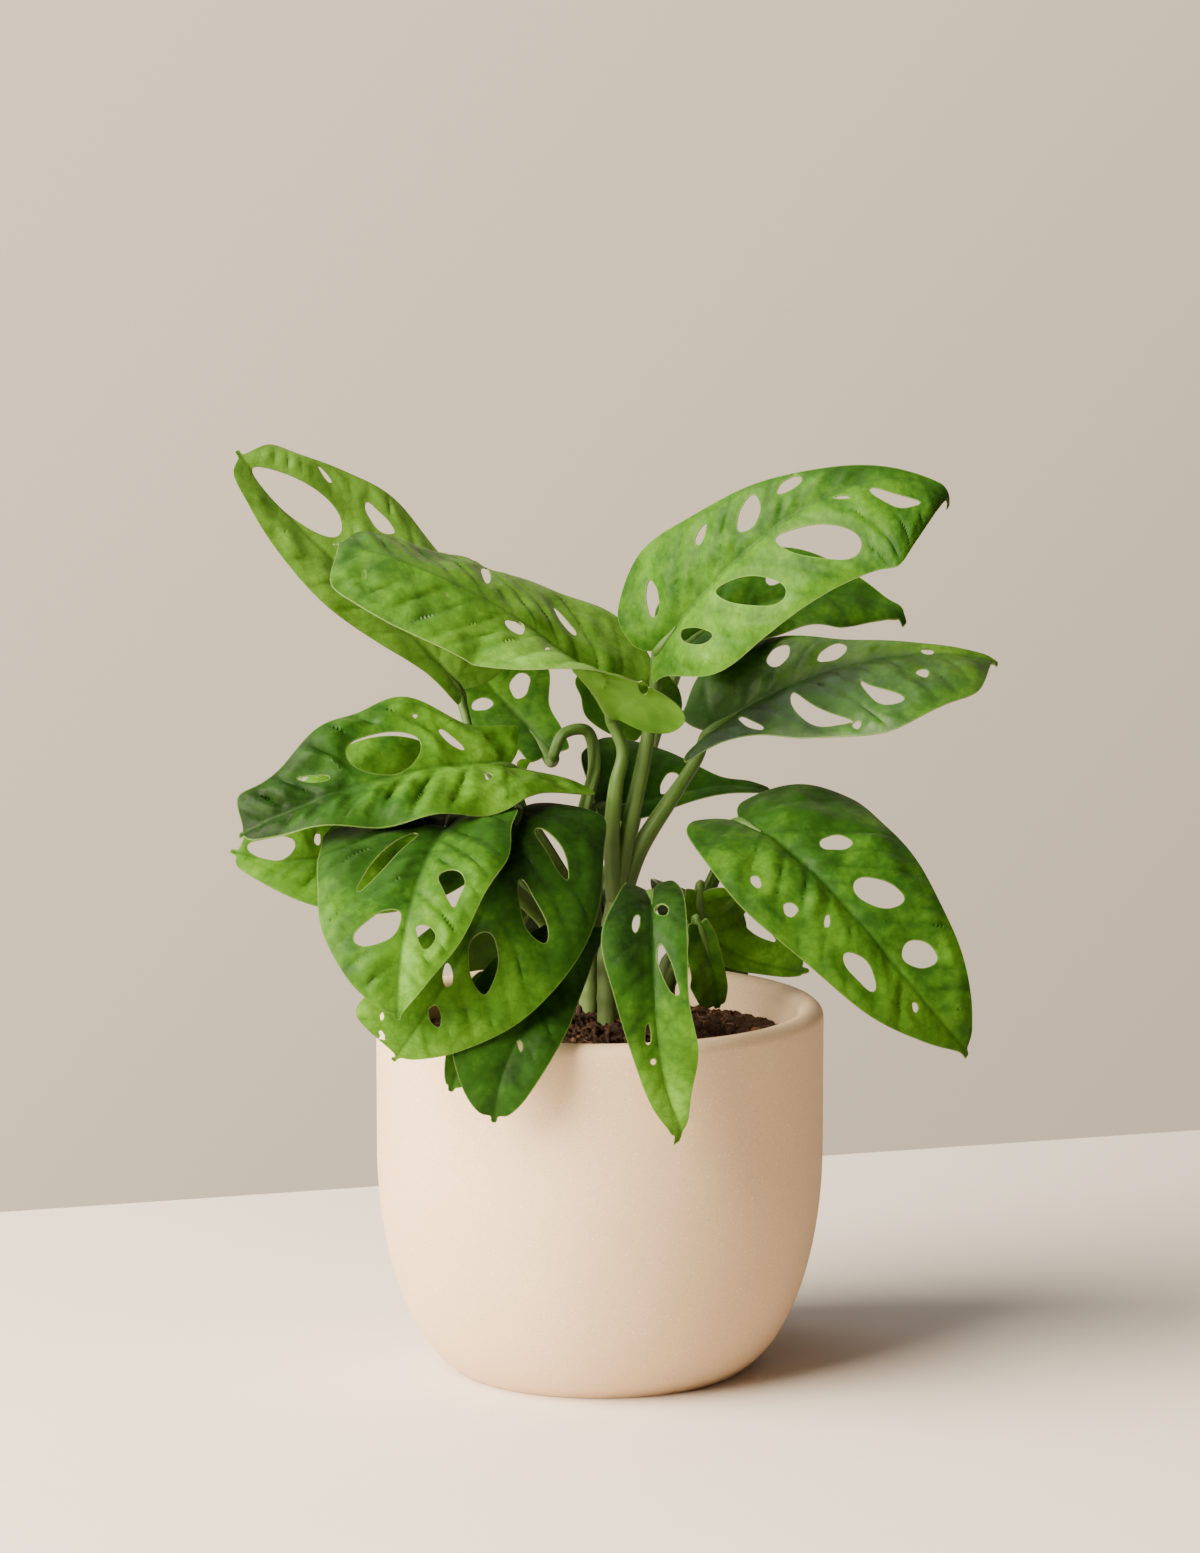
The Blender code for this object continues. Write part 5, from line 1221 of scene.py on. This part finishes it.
def leaf_face(s):
    """The shiny face of a leaf: mottled green whose tone holds painted light and shade too, darker along the
    veins, pale at margin and hole rims.
    """
    f = Finish("leaf_face")
    plan = f.place("UV")
    broad = f.spread(f.noise(plan, 9.0, 5.0, 0.55, 0.4), 0.3, 0.7, -0.085, 0.085)
    fine = f.spread(f.noise(plan, 38.0, 3.0), 0.3, 0.7, -0.06, 0.06)
    # the tone value carries the leaf's own colour and the painted light and shade set for each leaf
    tone_and_painted_light = f.math("ADD", f.math("ADD", f.value("tone_and_painted_light"), broad), fine)
    green = f.ramp(tone_and_painted_light, greens(s))
    net = f.spread(f.cells(plan, 26.0, "DISTANCE_TO_EDGE"), 0.0, 0.10, 0.20, 0.0)
    green = f.blend(net, green, (0.018, 0.055, 0.004))
    vein = f.spread(f.value("vein"), 0.25, 0.95, 0.0, 0.42)
    green = f.blend(vein, green, (0.022, 0.066, 0.012))
    pale = f.spread(f.value("edge"), 0.05, 0.45, 0.7, 0.0)
    green = f.blend(pale, green, tuple(s.rim))
    rough = f.spread(f.noise(plan, 16.0, 4.0), 0.3, 0.7, 0.34, 0.50)
    skin = f.bump(f.noise(plan, 160.0, 3.0), 0.10, 0.0004)
    skin = f.bump(f.cells(plan, 26.0, "DISTANCE_TO_EDGE"), 0.12, 0.0006, skin)
    f.finish(Base_Color=green, Roughness=rough, Normal=skin, Specular_IOR_Level=f.value("sheen"))
    return through(f, green, 0.34)


def leaf_back(s):
    """The matt underside: paler, with raised veins, and darker in soft patches as painted shade."""
    f = Finish("leaf_back")
    plan = f.place("UV")
    # painted shade: the underside's tone is pulled darker in soft patches, for the side of the blade turned
    # from the light
    tone_and_painted_light = f.math("ADD", f.value("tone_and_painted_light"), f.spread(f.noise(plan, 9.0, 4.0), 0.3, 0.7, -0.22, 0.02))
    green = f.ramp(tone_and_painted_light, greens(s))
    green = f.blend(0.25, green, (0.050, 0.120, 0.018))
    vein = f.spread(f.value("vein"), 0.2, 0.9, 0.0, 0.6)
    green = f.blend(vein, green, (0.11, 0.19, 0.04))
    skin = f.bump(f.noise(plan, 120.0, 3.0), 0.15, 0.0004)
    f.finish(Base_Color=green, Roughness=f.spread(f.noise(plan, 20.0), 0.3, 0.7, 0.52, 0.66), Normal=skin,
             Specular_IOR_Level=0.08)
    return through(f, green, 0.38)


def leaf_rim(s):
    """The cut edge: pale and slightly shiny."""
    f = Finish("leaf_rim")
    green = f.blend(f.noise(f.place("UV"), 30.0), tuple(s.rim), tuple(c * 0.7 for c in s.rim))
    return f.finish(Base_Color=green, Roughness=0.45)


def through(f, colour, share):
    """Adds the light that comes through a thin blade: a share of Translucent beside the shader."""
    glow = f.node("ShaderNodeBsdfTranslucent")
    f.link(f.blend(1.0, colour, (0.95, 1.0, 0.35), "MULTIPLY"), glow.inputs["Color"])
    f.link(f.mixed(share, f.shader.outputs[0], glow.outputs[0]), f.output.inputs["Surface"])
    return f.mat


def vine_skin(s):
    """Smooth pale green stalks with fine lengthwise streaks, browner and duller near the soil."""
    f = Finish("vine_skin")
    plan = f.place("UV")
    stretch = f.node("ShaderNodeMapping")
    stretch.inputs["Scale"].default_value = (60.0, 4.0, 1.0)
    f.link(plan, stretch.inputs["Vector"])
    streak = f.noise(stretch.outputs[0], 3.0, 4.0)
    mottle = f.spread(f.noise(f.place("Object"), 90.0, 3.0), 0.3, 0.7, -0.12, 0.12)
    young = f.math("ADD", f.value("youth"), mottle)
    half_old = tuple(0.5 * (a + b) for a, b in zip(s.old, s.green))
    green = f.ramp(young, [(0.0, tuple(s.old)), (0.32, half_old), (0.62, tuple(s.green)),
                           (1.0, (0.030, 0.080, 0.010))])
    green = f.blend(f.spread(streak, 0.35, 0.7, 0.0, 0.25), green, (0.09, 0.155, 0.030))
    skin = f.bump(streak, 0.25, 0.0005)
    return f.finish(Base_Color=green, Roughness=f.spread(streak, 0.3, 0.7, 0.38, 0.52), Normal=skin,
                    Specular_IOR_Level=0.22)


def bisque(s):
    """Unglazed stoneware: warm cream with fine sandy specks and a faint tooth."""
    f = Finish("bisque_clay")
    where = f.place("Object")
    cloud = f.spread(f.noise(where, 14.0, 4.0), 0.3, 0.7, 0.0, 1.0)
    base = f.blend(cloud, tuple(s.clay), tuple(c * k for c, k in zip(s.clay, (0.96, 0.94, 0.90))))
    grain = f.noise(where, 1500.0, 2.0, 0.7)
    base = f.blend(f.spread(grain, 0.52, 0.72, 0.0, 0.45), base, (0.52, 0.37, 0.23))
    base = f.blend(f.spread(f.noise(where, 1100.0, 2.0, 0.6), 0.58, 0.76, 0.0, 0.4), base, (0.93, 0.84, 0.72))
    specks = f.spread(f.cells(where, 520.0), 0.10, 0.17, 0.30, 0.0)
    base = f.blend(specks, base, (0.36, 0.22, 0.12))
    tooth = f.bump(f.noise(where, 2200.0, 3.0, 0.7), 0.22, 0.0003)
    tooth = f.bump(f.noise(where, 240.0, 3.0), 0.10, 0.0008, tooth)
    return f.finish(Base_Color=base, Roughness=f.spread(grain, 0.3, 0.7, 0.70, 0.86), Normal=tooth,
                    Specular_IOR_Level=0.35)


def soil_skin(s, name, dry):
    """Dark potting soil with browner and drier grains."""
    f = Finish(name)
    where = f.place("Object")
    grain = f.noise(where, 900.0, 5.0, 0.7)
    base = f.ramp(grain, [(0.30, tuple(c * 0.35 for c in s.soil)), (0.52, tuple(s.soil)),
                          (0.75, tuple(c * 3.2 for c in s.soil))])
    if dry:
        base = f.blend(f.spread(f.value("shade"), 0.55, 1.0, 0.0, 0.75), base, (0.20, 0.10, 0.05))
    specks = f.spread(f.cells(where, 700.0), 0.05, 0.16, 0.7, 0.0)
    rare = f.math("MULTIPLY", specks, f.spread(f.noise(where, 160.0), 0.52, 0.62))
    base = f.blend(rare, base, (0.42, 0.24, 0.11))
    rough = f.bump(grain, 0.8, 0.0012)
    return f.finish(Base_Color=base, Roughness=f.spread(grain, 0.3, 0.7, 0.80, 0.97), Normal=rough,
                    Specular_IOR_Level=0.25)


def fibre():
    """Coir strands from dark brown to straw."""
    f = Finish("coir")
    base = f.ramp(f.value("shade"), [(0.0, (0.06, 0.028, 0.014)), (0.55, (0.20, 0.09, 0.035)),
                                     (0.85, (0.50, 0.26, 0.10)), (1.0, (0.72, 0.52, 0.30))])
    base = f.blend(f.noise(f.place("Object"), 1200.0), base, (0.10, 0.05, 0.02))
    return f.finish(Base_Color=base, Roughness=0.8)


# ---------------------------------------------------------------- stage
def make_floor(scene, s):
    """A pale slab whose back edge crosses the view at a slight slant."""
    floor = Finish("floor_plaster")
    where = floor.place("Object")
    base = floor.blend(floor.spread(floor.noise(where, 3.0, 5.0, 0.6), 0.3, 0.7), tuple(s.floor),
                       tuple(c * 0.95 for c in s.floor))
    grain = floor.bump(floor.noise(where, 30.0, 4.0), 0.05, 0.002)
    floor.finish(Base_Color=base, Roughness=0.8, Normal=grain)
    slant = math.atan2(FLOOR_EDGE_WAY[1], FLOOR_EDGE_WAY[0])
    across = np.array([math.cos(slant), math.sin(slant)])
    back = np.array([-across[1], across[0]])
    edge = np.array(FLOOR_EDGE_MIDDLE)
    corners = [edge - across * FLOOR_HALF_WIDTH - back * FLOOR_DEPTH,
               edge + across * FLOOR_HALF_WIDTH - back * FLOOR_DEPTH,
               edge + across * FLOOR_HALF_WIDTH, edge - across * FLOOR_HALF_WIDTH]
    mesh = bpy.data.meshes.new("floor")
    mesh.from_pydata([(x, y, z) for z in (0.0, -FLOOR_THICKNESS) for x, y in corners], [],
                     [(0, 1, 2, 3), (7, 6, 5, 4), (0, 4, 5, 1), (1, 5, 6, 2), (2, 6, 7, 3), (3, 7, 4, 0)])
    mesh.materials.append(floor.mat)
    slab = bpy.data.objects.new("floor", mesh)
    scene.collection.objects.link(slab)


def make_room(scene, s):
    """A backdrop for the camera and for reflections, a little darker toward the lower right as painted shade,
    and a weaker glow that lights the plant."""
    world = bpy.data.worlds.new("room")
    world.use_nodes = True
    scene.world = world
    room = Nodes(world.node_tree)
    glow = room.tree.nodes["Background"]
    room.put(glow.inputs["Color"], (*GLOW_TINT, 1.0))
    room.put(glow.inputs["Strength"], s.fill)
    # painted shade: the backdrop's strength falls toward the lower right
    slope = room.node("ShaderNodeVectorMath", operation="DOT_PRODUCT")
    room.put(slope.inputs[0], room.place("Generated"))
    room.put(slope.inputs[1], BACKDROP_SHADE_WAY)
    fade = room.node("ShaderNodeMapRange")
    for key, value in zip(("From Min", "From Max", "To Min", "To Max"), BACKDROP_SHADE_FADE):
        room.put(fade.inputs[key], value)
    room.put(fade.inputs["Value"], slope.outputs["Value"])
    wall = room.node("ShaderNodeBackground")
    room.put(wall.inputs["Color"], (*s.backdrop, 1.0))
    room.put(wall.inputs["Strength"], fade.outputs["Result"])
    path = room.node("ShaderNodeLightPath")
    seen = room.math("MAXIMUM", path.outputs["Is Camera Ray"], path.outputs["Is Glossy Ray"])
    room.link(room.mixed(seen, glow.outputs[0], wall.outputs[0]),
              room.tree.nodes["World Output"].inputs["Surface"])


def lamp(scene, name, place, power, size, tint):
    """A round area light that looks at the plant's middle."""
    data = bpy.data.lights.new(name, "AREA")
    data.shape, data.size, data.energy, data.color = "DISK", size, power, tint
    ob = bpy.data.objects.new(name, data)
    scene.collection.objects.link(ob)
    ob.location = place
    ob.rotation_euler = (Vector(LIGHT_AIM) - Vector(place)).to_track_quat("-Z", "Y").to_euler()


def make_camera(scene):
    """The photograph's camera, which looks down a little on the plant's front."""
    data = bpy.data.cameras.new("camera")
    data.lens, data.sensor_width, data.sensor_fit = FOCAL_PX / PICTURE_PX * SENSOR_MM, SENSOR_MM, "AUTO"
    data.clip_start, data.clip_end = 0.1, 50.0
    cam = bpy.data.objects.new("camera", data)
    scene.collection.objects.link(cam)
    cam.location = CAMERA_PLACE
    cam.rotation_euler = (math.radians(90 - CAMERA_PITCH), 0.0, 0.0)
    scene.camera = cam


# ---------------------------------------------------------------- operators
class OBJECT_OT_pot(bpy.types.Operator):
    """Build the pot"""
    bl_idname = "monstera.pot"
    bl_label = "Pot"

    def execute(self, context):
        s = context.scene.monstera_pot
        make_pot(s, bisque(s))
        return {"FINISHED"}


class OBJECT_OT_soil(bpy.types.Operator):
    """Fill the pot with soil, crumbs and fibres"""
    bl_idname = "monstera.soil"
    bl_label = "Soil"

    def execute(self, context):
        s = context.scene.monstera_pot
        make_soil(s, {"soil": soil_skin(s, "potting_soil", False), "crumb": soil_skin(s, "soil_crumb", True),
                      "fibre": fibre()})
        return {"FINISHED"}


class OBJECT_OT_leaves(bpy.types.Operator):
    """Build every leaf on its blade"""
    bl_idname = "monstera.leaves"
    bl_label = "Leaves"

    def execute(self, context):
        s = context.scene.monstera_leaf
        mats = [leaf_face(s), leaf_back(s), leaf_rim(s)]
        for seed, (name, spec) in enumerate(LEAVES.items()):
            make_leaf(name, spec, {**PLAIN_LOOK, **LOOKS[name]}, 100 + 10 * seed, s, mats)
        return {"FINISHED"}


class OBJECT_OT_vines(bpy.types.Operator):
    """Build the climbing stems and their leaf stalks"""
    bl_idname = "monstera.vines"
    bl_label = "Stems and stalks"

    def execute(self, context):
        s = context.scene.monstera_vine
        blades = {name: Blade(spec) for name, spec in LEAVES.items()}
        skin = vine_skin(s)
        for name, spec in STEMS.items():
            make_vine(name, spec, blades, s, skin)
        return {"FINISHED"}


class OBJECT_OT_stage(bpy.types.Operator):
    """Set the floor, the backdrop, the lights and the camera"""
    bl_idname = "monstera.stage"
    bl_label = "Stage"

    def execute(self, context):
        scene, s = context.scene, context.scene.monstera_stage
        make_floor(scene, s)
        make_room(scene, s)
        lamp(scene, "key", KEY_PLACE, s.key, KEY_SIZE, KEY_TINT)
        lamp(scene, "top", TOP_PLACE, s.key * TOP_SHARE, TOP_SIZE, TOP_TINT)
        make_camera(scene)
        return {"FINISHED"}


class VIEW3D_PT_monstera(bpy.types.Panel):
    """Lists the plant's sizes, colours and building steps"""
    bl_label = "Potted monstera"
    bl_idname = "VIEW3D_PT_monstera"
    bl_space_type = "VIEW_3D"
    bl_region_type = "UI"
    bl_category = "Monstera"

    def draw(self, context):
        for key in GROUPS:
            box = self.layout.box()
            group = getattr(context.scene, key)
            for prop in group.bl_rna.properties:
                if prop.identifier not in {"rna_type", "name"}:
                    box.prop(group, prop.identifier)
        for op in STEPS:
            self.layout.operator("monstera." + op)


GROUPS = {"monstera_leaf": LeafSettings, "monstera_vine": VineSettings, "monstera_pot": PotSettings,
          "monstera_stage": StageSettings}
STEPS = ("pot", "soil", "vines", "leaves", "stage")
CLASSES = (LeafSettings, VineSettings, PotSettings, StageSettings, OBJECT_OT_pot, OBJECT_OT_soil,
           OBJECT_OT_leaves, OBJECT_OT_vines, OBJECT_OT_stage, VIEW3D_PT_monstera)


def register():
    """Adds the classes, and the groups of settings to the scene."""
    for cls in CLASSES:
        bpy.utils.register_class(cls)
    for key, group in GROUPS.items():
        setattr(bpy.types.Scene, key, bpy.props.PointerProperty(type=group))


def unregister():
    """Takes out what register adds, in reverse."""
    for key in GROUPS:
        delattr(bpy.types.Scene, key)
    for cls in reversed(CLASSES):
        bpy.utils.unregister_class(cls)


def main():
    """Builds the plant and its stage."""
    register()
    bpy.ops.monstera.pot()
    bpy.ops.monstera.soil()
    bpy.ops.monstera.vines()
    bpy.ops.monstera.leaves()
    bpy.ops.monstera.stage()


if __name__ == "__main__":
    main()
